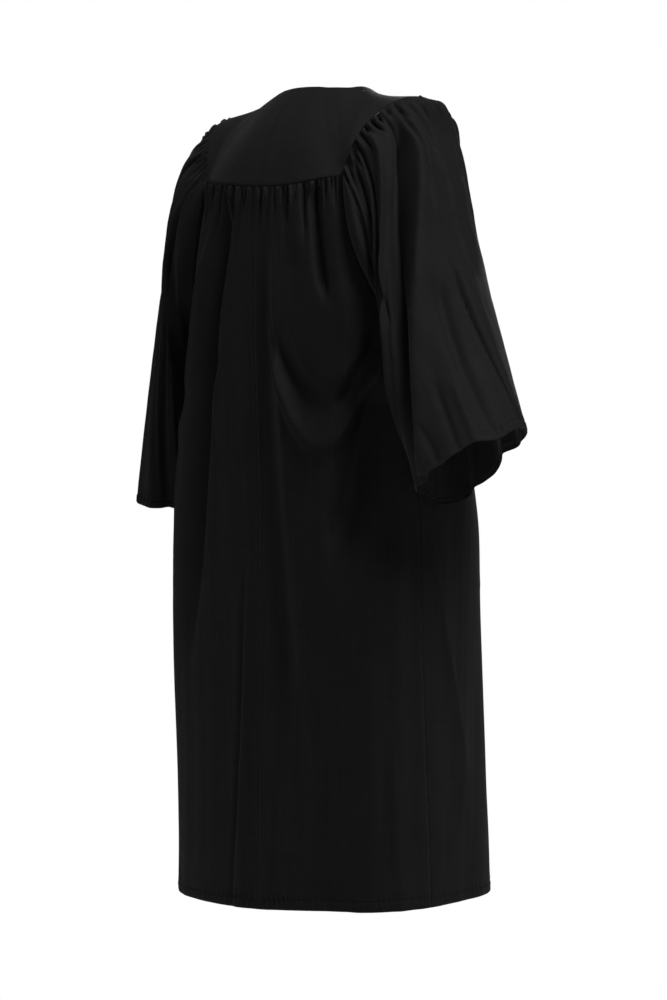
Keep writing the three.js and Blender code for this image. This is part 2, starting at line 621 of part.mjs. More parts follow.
const zipTop = yokePoint(3, SLIDER.down, RIGHT);
const zipFall = yokePoint(3, SLIDER.down + 0.3, RIGHT).sub(zipTop).setX(0).normalize();
for (const mesh of [add("zip_slider", slider(), metal), add("zip_pull", pull(), metal)]) {
  mesh.position.set(0, zipTop.y, zipTop.z);
  mesh.rotation.x = Math.atan2(-zipFall.z, -zipFall.y);
}

export default gown;
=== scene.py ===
# %% [markdown]
# # A choir gown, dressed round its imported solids
#
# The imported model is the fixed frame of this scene: it says where each piece of the gown lies. Loading it
# first means that every piece made below shares its axes. The wearer faces -Y, -X is the wearer's right
# and +Z is up. The solids of the cloth are stiff walls 1.5 mm thick, so each is replaced by a thin shell
# with finer folds, while the metal of the zip is kept and only given a finish.

import json
import math

import bpy
import numpy as np
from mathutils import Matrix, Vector

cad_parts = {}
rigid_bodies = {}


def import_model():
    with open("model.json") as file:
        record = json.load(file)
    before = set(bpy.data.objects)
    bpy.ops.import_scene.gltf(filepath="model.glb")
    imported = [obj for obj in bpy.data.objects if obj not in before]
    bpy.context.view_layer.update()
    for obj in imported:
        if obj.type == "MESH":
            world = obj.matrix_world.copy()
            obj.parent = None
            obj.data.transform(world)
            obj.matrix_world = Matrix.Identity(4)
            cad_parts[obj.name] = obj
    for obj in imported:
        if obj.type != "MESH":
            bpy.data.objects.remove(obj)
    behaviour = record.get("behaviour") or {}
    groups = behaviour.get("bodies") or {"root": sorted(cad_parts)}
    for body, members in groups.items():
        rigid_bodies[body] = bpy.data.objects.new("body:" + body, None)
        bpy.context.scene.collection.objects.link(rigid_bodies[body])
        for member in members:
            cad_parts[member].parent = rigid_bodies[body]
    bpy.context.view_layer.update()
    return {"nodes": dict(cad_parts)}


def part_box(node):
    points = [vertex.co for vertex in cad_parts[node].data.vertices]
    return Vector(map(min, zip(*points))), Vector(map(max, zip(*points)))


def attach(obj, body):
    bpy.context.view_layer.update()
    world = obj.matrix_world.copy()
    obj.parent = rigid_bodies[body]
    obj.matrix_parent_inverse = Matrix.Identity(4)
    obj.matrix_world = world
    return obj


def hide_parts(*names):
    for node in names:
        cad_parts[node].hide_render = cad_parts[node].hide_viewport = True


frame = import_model()

# %% [markdown]
# ## Small tools for curves and tables
#
# A garment is cut from few measures, with smooth lines between them. So the gown's form is kept in short
# tables, in millimetres as on a cutting table, and one reader draws a smooth curve through the rows.
# NumPy reads a whole sheet of points at once, which keeps the script fast without any simulation.

# %% Tools for curves and tables
MM = 0.001  # the tables are in millimetres and Blender's scene is in metres
RIGHT, LEFT = 1, -1


def mix(a, b, part):
    return a + (b - a) * part


def smooth(part):
    part = np.clip(part, 0, 1)
    return part * part * (3 - 2 * part)


def bell(away):
    return np.exp(-away * away)


def hermite(a, b, slope_a, slope_b, t):
    ends = (2 * t**3 - 3 * t**2 + 1) * a + (3 * t**2 - 2 * t**3) * b
    return ends + (t**3 - 2 * t**2 + t) * slope_a + (t**3 - t**2) * slope_b


def table(columns, rows):
    """Rows of numbers as named columns, sorted by the first of them."""
    return dict(zip(columns.split(), np.array(sorted(rows), float).T))


def named(columns, rows):
    """Each row of numbers as a dictionary under the names of its columns."""
    return [dict(zip(columns.split(), row)) for row in rows]


def read(rows, column, at):
    """A column of a table at values of its first column, on a smooth curve through the rows."""
    keys, values = next(iter(rows.values())), rows[column]
    before = np.maximum(np.arange(len(keys)) - 1, 0)
    after = np.minimum(np.arange(len(keys)) + 1, len(keys) - 1)
    slopes = (values[after] - values[before]) / (keys[after] - keys[before])
    at = np.clip(at, keys[0], keys[-1])
    i = np.clip(np.searchsorted(keys, at) - 1, 0, len(keys) - 2)
    span = keys[i + 1] - keys[i]
    t = (at - keys[i]) / span
    return hermite(values[i], values[i + 1], slopes[i] * span, slopes[i + 1] * span, t)


def unit(vectors):
    return vectors / np.linalg.norm(vectors, axis=-1, keepdims=True)


def drift(u, v, start):
    """Slow waves that never quite repeat: the unevenness of hanging cloth, from -1 to 1."""
    bend = 1.3 * np.sin(0.61 * v + start) + 0.7 * np.sin(0.37 * u - 1.9 * start)
    waves = np.sin(u + bend + start) + 0.6 * np.sin(2.17 * u - 0.8 * v + 2.3 * start)
    return (waves + 0.5 * np.sin(0.53 * u + 1.9 * v + bend)) / 2.1


print("tools ready")

# %% [markdown]
# ## The form of the body
#
# Under the yoke the cloth hangs in a wide tube round the wearer. Its level sections are rounded squares,
# which are wider than ellipses at the corners, as a gown is that hangs from shoulders. A point of it is
# named by its turn, in degrees from the centre back, and its level. Soft folds then push the cloth out or
# in: each has a path given at its head, middle and foot, so that it can lean as it falls. Creases are
# narrower folds of the same kind, put where the photograph shows a thin light or dark line.

# %% The body's sections, seams and folds
CLOTH = 1.5
KINKED_SEAM = 0.5
SLEEVE_SEAM = 0.65
UNDERARM = -390
HEM = -1200
MIDDLE = 5  # how far the widest line of the body lies behind the neck axis
SQUARENESS = 3
BACK_CORNER = {"turn": 50.7, "z": -147}
FRONT_CORNER = {"turn": 126, "z": -140}

BODY_SECTIONS = table("z half back front", [
    (-140, 172, 154, 118), (-245, 196, 158, 124), (-350, 208, 160, 124), (-500, 230, 155, 122),
    (-640, 248, 151, 128), (-800, 251, 149, 129), (-1000, 253, 150, 142), (-1200, 256, 153, 163),
])
BACK_ARMHOLE = table("z turn", [
    (-147, 50.7), (-200, 51.5), (-245, 54), (-300, 60), (-350, 68), (-390, 77),
])
FRONT_ARMHOLE = table("z turn", [
    (-140, 126), (-200, 123), (-250, 117), (-300, 107), (-350, 93), (-390, 77),
])
SIDE_SEAM = table("z turn", [(-390, 77), (-600, 76), (-800, 76.5), (-1200, 79.5)])
HEM_LINE = table("turn z", [
    (-180, -1200), (-120, -1216), (-75, -1230), (-35, -1230), (0, -1226),
    (25, -1219), (45, -1212), (79, -1204), (180, -1200),
])
YOKE_HEM = table("turn z", [
    (-180, -150), (-126, -140), (-50.7, -141), (-25, -149), (0, -155),
    (25, -155), (50.7, -145), (126, -140), (180, -150),
])

FOLD_COLUMNS = "head middle foot top bottom spread rise sharp"
BODY_FOLDS = named(FOLD_COLUMNS, [
    (15, 23, 47, -160, -1120, 9, 8, 0.45), (10, 14, 32, -200, -1120, 6, -4, 1),
    (38, 40.5, 45, -154, -345, 2.8, -20, 1), (45, 48, 54, -156, -420, 4, 4, 1),
    (57, 59, 61, -600, -1290, 5, 4, 1), (68, 69, 70, -610, -1290, 4, 4, 1),
    (76, 90, 101, -560, -1180, 6, 4, 0.7), (44, 54, 64, -840, -1340, 5, 4, 1),
    (-26, -60, -66, -150, -1180, 9, 11, 0.8), (-21, -42, -54, -154, -900, 3.8, -24, 1),
    (66, 58, 49, -360, -490, 4, -17, 1), (66, 57, 52, -430, -750, 11, -46, 1),
    (-12, -14, -20, -700, -1360, 7, 4, 1), (142, 136, 128, -180, -1340, 8, 6, 1),
    (160, 158, 152, -170, -1000, 5, -5, 1), (118, 112, 110, -560, -1340, 6, 5, 1),
    (-146, -140, -131, -180, -1340, 8, 6, 1), (-163, -160, -156, -170, -940, 5, -5, 1),
    (-115, -108, -104, -600, -1340, 7, 5, 1), (-88, -86, -84, -620, -1300, 5, 4, 1),
])
BODY_CREASES = named(FOLD_COLUMNS, [
    (15, 23, 47, -165, -1080, 1.8, 2.6, 0.4), (-27, -61, -67, -152, -1100, 2, 2.4, 0.6),
    (27, 28.5, 29, -152, -280, 2.6, 4, 1), (-38, -46, -50, -148, -420, 1.6, -3, 1),
    (-12, -17, -24, -700, -1330, 2, -4, 1), (66, 68, 71, -960, -1340, 1.6, 2.2, 1),
    (52, 54, 57, -1080, -1290, 2, 2.4, 1), (74, 86, 99, -570, -1050, 1.6, 2.4, 0.5),
    (72.5, 73, 74, -620, -1290, 2.2, -3, 1), (150, 149, 147, -150, -330, 1.4, -3, 1),
    (168, 167, 166, -150, -270, 1.1, -2.6, 1), (137, 137, 136, -150, -300, 1.5, 3, 1),
    (-152, -151, -150, -150, -310, 1.4, -3, 1), (-169, -168, -167, -150, -280, 1.1, -2.6, 1),
    (-134, -133, -131, -150, -300, 1.5, 3, 1), (125, 122, 120, -700, -1340, 2.2, 2.4, 0.6),
    (128, 127, 125, -560, -1180, 8, -6, 1),
    (-124, -121, -119, -640, -1340, 2.2, 2.4, 0.6), (-97, -96, -94, -660, -1280, 2, -2.6, 1),
])
SWAGS = named("turn low climb reach spread rise", [
    (40, -534, 0.195, 32, 19, 9), (42, -480, 0.15, 30, 22, -7),
    (-50, -520, 0.19, 26, 22, 3), (-50, -470, 0.15, 26, 22, -3),
    (118, -520, 0.19, 30, 22, 5), (118, -470, 0.15, 30, 22, -5),
    (-120, -510, 0.19, 30, 22, 5), (-120, -460, 0.15, 30, 22, -5),
    (40, -538, 0.21, 26, 6, 1.6), (46, -452, 0.2, 24, 7, -1.6),
])
# Creases pressed in by folding for storage: they cross the cloth and never quite hang out.
PRESSED = named("start end high low rise spread", [
    (56, 74, -722, -730, 0.9, 5), (20, 42, -746, -748, -0.6, 5), (-62, -40, -728, -708, -0.7, 5),
    (57, 58, -730, -1160, 0.5, 5), (-30, -4, -1010, -1014, 0.6, 6), (84, 118, -735, -742, 0.8, 5),
    (126, 168, -738, -744, -0.7, 5), (-170, -128, -732, -744, 0.7, 5), (-112, -84, -740, -734, -0.7, 5),
])


def fold_away(fold, place, part):
    """How far places lie from a fold's bent path, in spreads; its inner flank may be sharper."""
    path = fold["head"] * (1 - 2 * part) * (1 - part) + fold["middle"] * 4 * part * (1 - part)
    away = (place - path - fold["foot"] * part * (2 * part - 1)) / fold["spread"]
    return np.where(away * np.sign(path) < 0, away / fold["sharp"], away)


def body_fold_rise(turn, z):
    rise = np.zeros(np.broadcast(turn, z).shape)
    for fold in BODY_FOLDS + BODY_CREASES:
        part = (fold["top"] - z) / (fold["top"] - fold["bottom"])
        fade = smooth(part / 0.15) * smooth((1 - part) / 0.35)
        rise += fold["rise"] * fade * bell(fold_away(fold, turn, part))
    for swag in SWAGS:
        off = turn - swag["turn"]
        level = swag["low"] + swag["climb"] * off * off
        fade = smooth((swag["reach"] - np.abs(off)) / 9)
        rise += swag["rise"] * fade * bell((z - level) / swag["spread"])
    return rise


def body_radius(turn, z):
    s, c = np.sin(np.radians(turn)), np.cos(np.radians(turn))
    half = read(BODY_SECTIONS, "half", z)
    behind = read(BODY_SECTIONS, "back", z) - MIDDLE
    before = read(BODY_SECTIONS, "front", z) + MIDDLE
    reach = np.where(c > 0, behind, before)
    return (np.abs(s / half) ** SQUARENESS + np.abs(c / reach) ** SQUARENESS) ** (-1 / SQUARENESS)


def body_point(turn, z, lift=0.0):
    """Points of the body at turns and levels, in millimetres, pushed out by their folds and by lift."""
    turn, z = np.broadcast_arrays(np.asarray(turn, float), np.asarray(z, float))
    radius = body_radius(turn, z) + body_fold_rise(turn, z) + lift
    s, c = np.sin(np.radians(turn)), np.cos(np.radians(turn))
    return np.stack([-radius * s, MIDDLE + radius * c, z], -1)


print("body:", len(BODY_FOLDS), "folds,", len(BODY_CREASES), "creases and", len(SWAGS), "swags")

# %% [markdown]
# ## The form of the yoke
#
# The yoke is a smooth saddle of cloth that lies on the shoulders and carries everything else. Its inner
# edge is the neck and its outer edge follows the top of the panels and the armholes. A point of it is
# named by a stretch round the neck, from 0 at the centre back over 1 and 2 at the corners to 3 at the
# centre front, and by how far down it lies from the neck to the edge. A crown lifts the middle, because
# cloth on shoulders is rounded and never a straight line from edge to edge.

# %% The yoke's edges
ZIP_BAND = {"width": 9, "thickness": 2, "foot": -1190}
YOKE_SIDE = [
    (0.18, 155, 106, -97), (0.34, 170, 84, -64), (0.46, 180, 54, -43), (0.57, 187, 17, -33),
    (0.68, 187, -20, -36), (0.79, 179, -55, -57), (0.9, 161, -82, -95),
]
SHOULDER_LIFT = {RIGHT: 4, LEFT: -2}  # the right shoulder is worn a little higher
NECK_EDGE = table("at out y z crown", [
    (0, 0, 62, -4, 18), (0.5, 30, 59, -5, 16), (1, 55, 48, -7, 9), (1.25, 70, 33, -7, 4),
    (1.57, 80, 4, -5, 3), (1.8, 72, -32, -18, 4), (2, 54, -66, -46, 9), (2.5, 28, -94, -74, 6),
    (3, 5, -112, -97, 1),
])


def centre_front(z):
    """The turn at which the front panels stop, beside the zip."""
    reach = read(BODY_SECTIONS, "front", z) + MIDDLE
    return 180 - np.degrees(np.arctan((ZIP_BAND["width"] / 2 + KINKED_SEAM) / reach))


def corner_row(corner, part, side):
    turn = side * corner["turn"]
    x, y, z = body_point(turn, read(YOKE_HEM, "z", turn))
    return (part, -side * x, y, z)


def side_rows(side):
    between = [(part, out, y, z + SHOULDER_LIFT[side]) for part, out, y, z in YOKE_SIDE]
    return [corner_row(BACK_CORNER, 0, side), *between, corner_row(FRONT_CORNER, 1, side)]


YOKE_SIDES = {side: table("part out y z", side_rows(side)) for side in (RIGHT, LEFT)}


def yoke_edge(at, side):
    """The yoke's outer edge: the top of the back panels, the armhole, then the top of the fronts."""
    at = np.asarray(at, float)
    part = np.clip(at - 1, 0, 1)
    out, y, z = (read(YOKE_SIDES[side], column, part) for column in ("out", "y", "z"))
    beside_arm = np.stack([-side * out, y, z], -1)
    last = centre_front(-150)
    turn = side * np.where(at <= 1, BACK_CORNER["turn"] * at, mix(FRONT_CORNER["turn"], last, at - 2))
    beside_panel = body_point(turn, read(YOKE_HEM, "z", turn))
    on_panel = (at <= 1) | (at >= 2)
    return np.where(on_panel[..., None], beside_panel, beside_arm)


EASING = ((-1, 0.12), (-0.6, 0.23), (0, 0.3), (0.6, 0.23), (1, 0.12))  # places in a window, and weights


def eased_edge(at, down, side):
    """The outer edge, with its corners rounded more and more towards the neck."""
    window = np.minimum(0.45 * (1 - down) ** 0.7, np.minimum(at + 0.45, 3 - at))
    total = 0
    for part, weight in EASING:
        near = at + part * window
        edge = yoke_edge(np.abs(near), side)
        flip = np.where(near < 0, -1, 1)
        total = total + weight * edge * np.stack([flip, 0 * flip + 1, 0 * flip + 1], -1)
    return total


def yoke_point(at, down, side, lift=0.0):
    """Points of the yoke, from the neck edge, 0, to its outer edge, 1, in millimetres."""
    at, down = np.broadcast_arrays(np.asarray(at, float), np.asarray(down, float))
    out, y, z, crown = (read(NECK_EDGE, column, at) for column in ("out", "y", "z", "crown"))
    neck = np.stack([-side * out, y, z], -1)
    edge = eased_edge(at, np.minimum(down, 1), side)
    fall = unit(edge - neck)
    up = unit(np.array([0, 0, 1]) - fall * fall[..., 2:])
    rise = crown * 4 * down * (1 - down) + lift
    return neck + (edge - neck) * down[..., None] + up * rise[..., None]


print("yoke edge reaches", round(float(yoke_edge(1.57, RIGHT)[0])), "mm out over the shoulder")

# %% [markdown]
# ## The form of the sleeves
#
# Each bell sleeve leaves the armhole square to it, falls over the arm and widens to the cuff. It is lofted
# through oval sections, each given by its outer, back, inner and front points. The first stretch starts in
# the direction of the yoke or of the panel beside it, so that the cloth rolls over the shoulder. A place
# on it is named by a share of its round, from the underarm over the back, and by a share of its length.

# %% The sleeves' sections and folds
SLEEVE_LENGTH = 560
BACK_SHARE = 0.18  # share of the round sewn to the back panel
FRONT_SHARE = 0.16  # share sewn to the front panel; the rest is gathered into the yoke
YOKE_SHARE = 1 - BACK_SHARE - FRONT_SHARE
SLEEVE_KNOTS = np.array([0, 0.2, 0.45, 0.72, 1])
SLEEVE_SECTIONS = {  # at each knot after the armhole: outer, back, inner and front points
    RIGHT: np.array([
        [(228, 18, -95), (203, 124, -185), (228, 52, -418), (194, -80, -170)],
        [(280, 24, -235), (232, 133, -305), (240, 54, -462), (228, -68, -300)],
        [(347, 42, -372), (280, 142, -440), (250, 58, -530), (278, -46, -430)],
        [(421, 62, -508), (338, 138, -556), (256, 62, -605), (336, -12, -556)],
    ], float),
    LEFT: np.array([
        [(236, 14, -100), (211, 127, -190), (228, 50, -418), (200, -90, -180)],
        [(285, 8, -250), (239, 123, -330), (242, 42, -475), (238, -92, -310)],
        [(340, -6, -420), (287, 99, -480), (256, 15, -560), (286, -98, -450)],
        [(402, -20, -622), (335, 70, -634), (265, -15, -642), (333, -103, -630)],
    ], float),
}
SLEEVE_FOLDS = {
    RIGHT: named(FOLD_COLUMNS, [
        (0.2, 0.15, 0.1, 0.03, 0.34, 0.02, -4, 1), (0.36, 0.25, 0.09, 0, 0.9, 0.012, 10, 1),
        (0.46, 0.287, 0.095, 0.02, 1.15, 0.024, -37, 1), (0.47, 0.31, 0.06, 0.05, 1.3, 0.04, 9, 0.35),
        (0.545, 0.53, 0.53, 0.02, 0.62, 0.03, -9, 0.2), (0.412, 0.403, 0.42, 0.5, 1.06, 0.018, -8, 1),
        (0.49, 0.515, 0.6, 0.45, 1.2, 0.03, 4, 1), (0.68, 0.66, 0.64, 0.1, 1.3, 0.025, -5, 1),
        (0.77, 0.755, 0.74, 0.1, 1.3, 0.03, 5, 1),
    ]),
    LEFT: named(FOLD_COLUMNS, [
        (0.27, 0.245, 0.22, 0.03, 1.3, 0.022, 4, 1), (0.22, 0.185, 0.15, 0.03, 1.3, 0.022, -9, 1),
        (0.37, 0.34, 0.31, 0.08, 1.3, 0.026, 4, 1), (0.45, 0.435, 0.42, 0.05, 1.3, 0.022, -9, 1),
        (0.55, 0.545, 0.54, 0.15, 1.3, 0.03, 5, 1), (0.66, 0.665, 0.67, 0.1, 1.2, 0.026, -5, 1),
        (0.76, 0.765, 0.77, 0.1, 1.3, 0.03, 5, 1),
    ]),
}
SLEEVE_CREASES = {
    RIGHT: named(FOLD_COLUMNS, [
        (0.455, 0.49, 0.57, 0.49, 1.1, 0.005, -11, 1), (0.485, 0.45, 0.445, 0.01, 0.42, 0.006, -7, 1),
        (0.565, 0.512, 0.51, 0, 0.62, 0.007, -7, 1), (0.525, 0.5, 0.49, 0, 0.3, 0.006, -5, 1),
        (0.435, 0.41, 0.38, 0, 0.3, 0.007, -6, 1), (0.31, 0.248, 0.25, 0, 0.6, 0.009, -11, 1),
        (0.3, 0.24, 0.17, 0, 0.5, 0.008, 5, 1), (0.27, 0.21, 0.15, 0, 0.45, 0.008, -8, 1),
        (0.24, 0.18, 0.12, 0, 0.42, 0.008, 4, 1), (0.6, 0.59, 0.58, 0, 0.3, 0.006, -5, 1),
        (0.63, 0.615, 0.6, 0.02, 0.5, 0.008, 2, 1), (0.71, 0.685, 0.66, 0.05, 0.8, 0.008, -2.4, 1),
        (0.82, 0.81, 0.8, 0.05, 0.9, 0.009, 2.4, 1), (0.9, 0.89, 0.88, 0.3, 1.3, 0.012, -3, 1),
        (0.97, 0.965, 0.96, 0.3, 1.3, 0.012, 3, 1), (0.33, 0.32, 0.32, 0.78, 1.15, 0.012, -5, 1),
        (0.2, 0.21, 0.22, 0.75, 1.3, 0.012, 2, 1), (0.37, 0.37, 0.38, 0.8, 1.2, 0.012, 4, 1),
        (0.25, 0.26, 0.26, 0.84, 1.2, 0.01, -4, 1), (0.46, 0.46, 0.46, 0.85, 1.2, 0.01, 2.4, 1),
        (0.74, 0.73, 0.72, 0.55, 1.4, 0.03, -15, 1), (0.79, 0.79, 0.79, 0.6, 1.4, 0.018, 4, 1),
        (0.85, 0.842, 0.835, 0.6, 1.4, 0.014, -9, 1), (0.9, 0.89, 0.88, 0.55, 1.4, 0.03, 7, 1),
    ]),
    LEFT: named(FOLD_COLUMNS, [
        (0.33, 0.305, 0.28, 0, 0.8, 0.01, -8, 1), (0.41, 0.39, 0.37, 0.02, 0.9, 0.01, 4, 1),
        (0.5, 0.49, 0.48, 0.02, 0.9, 0.008, 2.4, 1), (0.6, 0.6, 0.6, 0.05, 1, 0.008, -2.4, 1),
        (0.25, 0.215, 0.18, 0, 1.1, 0.01, 4, 1), (0.71, 0.71, 0.71, 0.05, 1.2, 0.008, 2.2, 1),
        (0.82, 0.825, 0.83, 0.1, 1.3, 0.01, -2.6, 1), (0.9, 0.9, 0.9, 0.3, 1.3, 0.012, 3, 1),
        (0.05, 0.05, 0.05, 0.3, 1.3, 0.012, -3, 1), (0.12, 0.115, 0.11, 0.3, 1.3, 0.012, 3, 1),
    ]),
}


def stretch_at(round_):
    return 1 + (round_ - BACK_SHARE) / YOKE_SHARE


def beside_panel(round_):
    """0 beside the yoke and 1 beside a panel, with an even change about the yoke's corners."""
    return smooth((np.maximum(BACK_SHARE - round_, round_ - 1 + FRONT_SHARE) + 0.05) / 0.07)


def armhole(round_, side):
    low = np.maximum((BACK_SHARE - round_) / BACK_SHARE, (round_ - 1 + FRONT_SHARE) / FRONT_SHARE)
    low = np.maximum(low, 0)
    points = yoke_edge(np.clip(stretch_at(round_), 1.0001, 1.9999), side)
    for rows, corner, here in (
        (BACK_ARMHOLE, BACK_CORNER, (low > 0) & (round_ < 0.5)),
        (FRONT_ARMHOLE, FRONT_CORNER, (low > 0) & (round_ >= 0.5)),
    ):
        z = mix(read(YOKE_HEM, "z", side * corner["turn"]), UNDERARM, low)
        points = np.where(here[:, None], body_point(side * read(rows, "turn", z), z), points)
    return points


def leaving(round_, side):
    """The way in which the sleeve leaves the armhole: on from the yoke, or straight out of the body."""
    stretch = np.clip(stretch_at(round_), 1.02, 1.98)
    onward = unit(yoke_point(stretch, 1, side) - yoke_point(stretch, 0.95, side))
    seam = armhole(round_, side)
    outward = unit(np.stack([seam[:, 0], (seam[:, 1] - MIDDLE) * 1.2, 0 * seam[:, 0]], -1))
    return unit(mix(onward, outward, beside_panel(round_)[:, None]))


def section_points(section, round_, side):
    outer, back, inner, front = section
    t = (math.pi * (1 - 2 * round_))[:, None]
    oval = (outer - inner) / 2 * np.cos(t) + (back - front) / 2 * np.sin(t)
    skew = (outer + inner - back - front) / 4 * np.cos(2 * t)
    return ((outer + back + inner + front) / 4 + oval + skew) * [-side, 1, 1]


def sleeve_form(round_, along, side):
    """The smooth form of a sleeve: round_ is one row of shares and along a sheet of them."""
    away = leaving(round_, side)
    start = armhole(round_, side) + away * (SLEEVE_SEAM + CLOTH / 2 * beside_panel(round_))[:, None]
    knots = SLEEVE_KNOTS
    points = np.stack([start, *(section_points(s, round_, side) for s in SLEEVE_SECTIONS[side])])
    first = away * (1.1 * np.linalg.norm(points[1] - points[0], axis=-1) / knots[1])[:, None]
    last = len(knots) - 1
    slopes = np.stack([first, *(
        (points[min(j + 1, last)] - points[j - 1]) / (knots[min(j + 1, last)] - knots[j - 1])
        for j in range(1, last + 1)
    )])
    i = np.clip(np.searchsorted(knots, along) - 1, 0, last - 1)
    span = (knots[i + 1] - knots[i])[..., None]
    t = (along - knots[i])[..., None] / span
    column = np.broadcast_to(np.arange(len(round_)), along.shape)
    ends = points[i, column], points[i + 1, column]
    return hermite(*ends, slopes[i, column] * span, slopes[i + 1, column] * span, t)


def sleeve_fold_rise(round_, along, side):
    rise = np.zeros(along.shape)
    for fold in SLEEVE_FOLDS[side] + SLEEVE_CREASES[side]:
        part = (along - fold["top"]) / (fold["bottom"] - fold["top"])
        fade = smooth(part / 0.2) * smooth((1 - part) / 0.3)
        rise += fold["rise"] * fade * bell(fold_away(fold, round_, part))
    return rise


def outward(points, side):
    """The direction square to a sheet of points, outwards from the gown."""
    across, down = np.gradient(points, axis=1), np.gradient(points, axis=0)
    return unit(np.cross(down, across)) * side


counts = [len(SLEEVE_FOLDS[side] + SLEEVE_CREASES[side]) for side in (RIGHT, LEFT)]
print("sleeves:", counts, "folds right and left")

# %% [markdown]
# ## Gathers and puckers
#
# Where a wide piece is sewn to a short one, the spare cloth stands up in gathers. They start at the seam
# as tight puckers a few millimetres apart, join into larger folds and die away as the cloth hangs out.
# Two layers of them are added up: low even waves that swing as the solids do, and single gathers, each
# with its own length, width and rise. Those in sight are placed from the photograph, and a seeded draw
# makes the rest. A rise below 0 is a valley with a sharp bottom, as where a thread draws two ridges
# together.

# %% Gathers and puckers
BACK_GATHERS = {"count": 9, "depth": 2.2, "length": 110}
FRONT_GATHERS = {"count": 8, "depth": 2.2, "length": 110}
SLEEVE_GATHERS = {"count": 22, "depth": 1.2, "length": 60}
GATHER_START = 14  # below the seam, where a gather reaches its full depth
LINE_DEPTH = 2.1  # millimetres of cloth for each step of rise of a single gather

# Turn at the seam and at the foot, length, width at the seam and rise, for the back panels.
BACK_LINES = {
    RIGHT: [
        (3, 2, 90, 1.6, -4), (0.8, 1, 60, 2, 1.4), (7, 6.5, 30, 2.2, 1.6), (10.5, 10, 24, 1.4, -2.2),
        (13.5, 14.5, 70, 1.3, -2.4), (16, 16.5, 40, 2.4, 1.8), (19.6, 18.5, 46, 1.5, -4),
        (22.6, 23.6, 80, 1.6, -3), (24.4, 26, 60, 2, 1.8), (27.6, 28, 36, 1.2, -2.2),
        (30, 29.6, 30, 1.4, 1.6), (32, 33, 105, 1.5, -4.2), (34.6, 34, 30, 1.3, -2.6),
        (36, 36, 40, 2, 2), (38.4, 39.2, 70, 1.5, -4.5), (40.8, 40.5, 26, 1.2, -2.4),
        (43, 43.6, 90, 1.4, -3), (44.4, 44.8, 34, 1.6, 2), (45.6, 45.4, 34, 1, -3.4),
        (47.2, 47.8, 60, 1, -3.2), (49.2, 49.6, 50, 1, -3),
    ],
    LEFT: [
        (3.4, 3.4, 34, 1.4, -1.8), (6, 7, 50, 2.2, 1.4), (9, 11, 60, 1.5, -3), (12, 12.6, 28, 1.3, -2),
        (14.6, 16, 60, 2.4, 1.8), (18.6, 22, 80, 1.6, -4.4), (21, 23, 30, 1.8, 2),
        (24, 25, 26, 1.3, -2.6), (28, 33, 110, 1.6, -4.6), (30.4, 31, 34, 2, 2), (33, 35, 46, 1.2, -3),
        (36.6, 40, 70, 1.5, -3.4), (39.4, 41, 40, 2, 2), (42, 45, 90, 1.4, -3.4),
        (45, 47, 50, 1.2, -3), (47.4, 49, 40, 1.6, 2), (49.4, 50.5, 60, 1.2, -3),
    ],
}
# The same for the right sleeve, by share of its round.
CAP_LINES = [
    (0.196, 0.19, 60, 3, -3), (0.214, 0.2, 90, 3.4, 2.6), (0.234, 0.215, 70, 2.6, -3.6),
    (0.25, 0.24, 34, 2.6, -2.6), (0.262, 0.25, 60, 3.4, 2.6), (0.28, 0.262, 90, 2.8, -4),
    (0.298, 0.29, 36, 2.6, -2.8), (0.312, 0.3, 70, 3.6, 3), (0.33, 0.315, 120, 2.8, -4.2),
    (0.345, 0.34, 34, 2.6, 2.2), (0.358, 0.35, 40, 2.6, -3.4), (0.372, 0.365, 60, 3.4, 2.6),
    (0.388, 0.38, 80, 2.8, -4), (0.402, 0.4, 30, 2.6, 2), (0.417, 0.405, 60, 2.6, -3.6),
    (0.434, 0.42, 90, 3.4, 2.4), (0.45, 0.444, 46, 2.6, -3.2), (0.468, 0.46, 34, 3, 1.8),
    (0.482, 0.474, 80, 2.8, -4), (0.5, 0.497, 34, 3, 1.6), (0.516, 0.505, 60, 2.6, -3),
    (0.536, 0.53, 36, 3, 1.6), (0.55, 0.53, 90, 2.8, -3.4), (0.57, 0.56, 40, 3, 1.8),
    (0.585, 0.58, 50, 2.6, -2.8),
]


def spaced(share):
    return share + 0.01 * np.sin(6 * math.pi * share) + 0.006 * np.sin(14 * math.pi * share)


def gather_lift(gathers, share, below):
    uneven = 0.72 + 0.28 * np.sin(17 * share + 2)
    ends = smooth(share * gathers["count"]) * smooth((1 - share) * gathers["count"])
    dying = 1 - smooth((below - 25) / (gathers["length"] * uneven))
    fade = ends * smooth(below / GATHER_START) * dying
    return gathers["depth"] * uneven * fade * np.sin(2 * math.pi * gathers["count"] * share)


def drawn_lines(start, end, count, seed):
    """Gathers of uneven length, width and rise from one end of a seam to the other."""
    draw = np.random.default_rng(seed)
    at = mix(start, end, (np.arange(count) + draw.uniform(0.15, 0.85, count)) / count)
    lean = (end - start) / count * draw.normal(0, 0.5, count)
    length = 24 + 90 * draw.random(count) ** 2
    rise = np.where(draw.random(count) < 0.6, -1, 0.6) * draw.uniform(2, 4, count)
    return np.stack([at, at + lean, length, draw.uniform(1.4, 3, count), rise], 1)


def line_lift(lines, at, below, mm_each):
    """Single gathers on a sheet; mm_each is how many millimetres one step of at measures."""
    lift = np.zeros(at.shape)
    for head, foot, length, width, rise in lines:
        part = below / length
        spread = width * (1 + 1.2 * np.clip(part, 0, 1))
        away = np.abs(at - mix(head, foot, part)) * mm_each / spread
        form = bell(away) if rise > 0 else 1.25 * np.exp(-away) - 0.25 * bell(away / 2.5)
        fade = smooth((below - 0.5) / 5) * (1 - smooth((part - 0.2) / 0.8))
        lift += LINE_DEPTH * rise * form * fade
    return lift


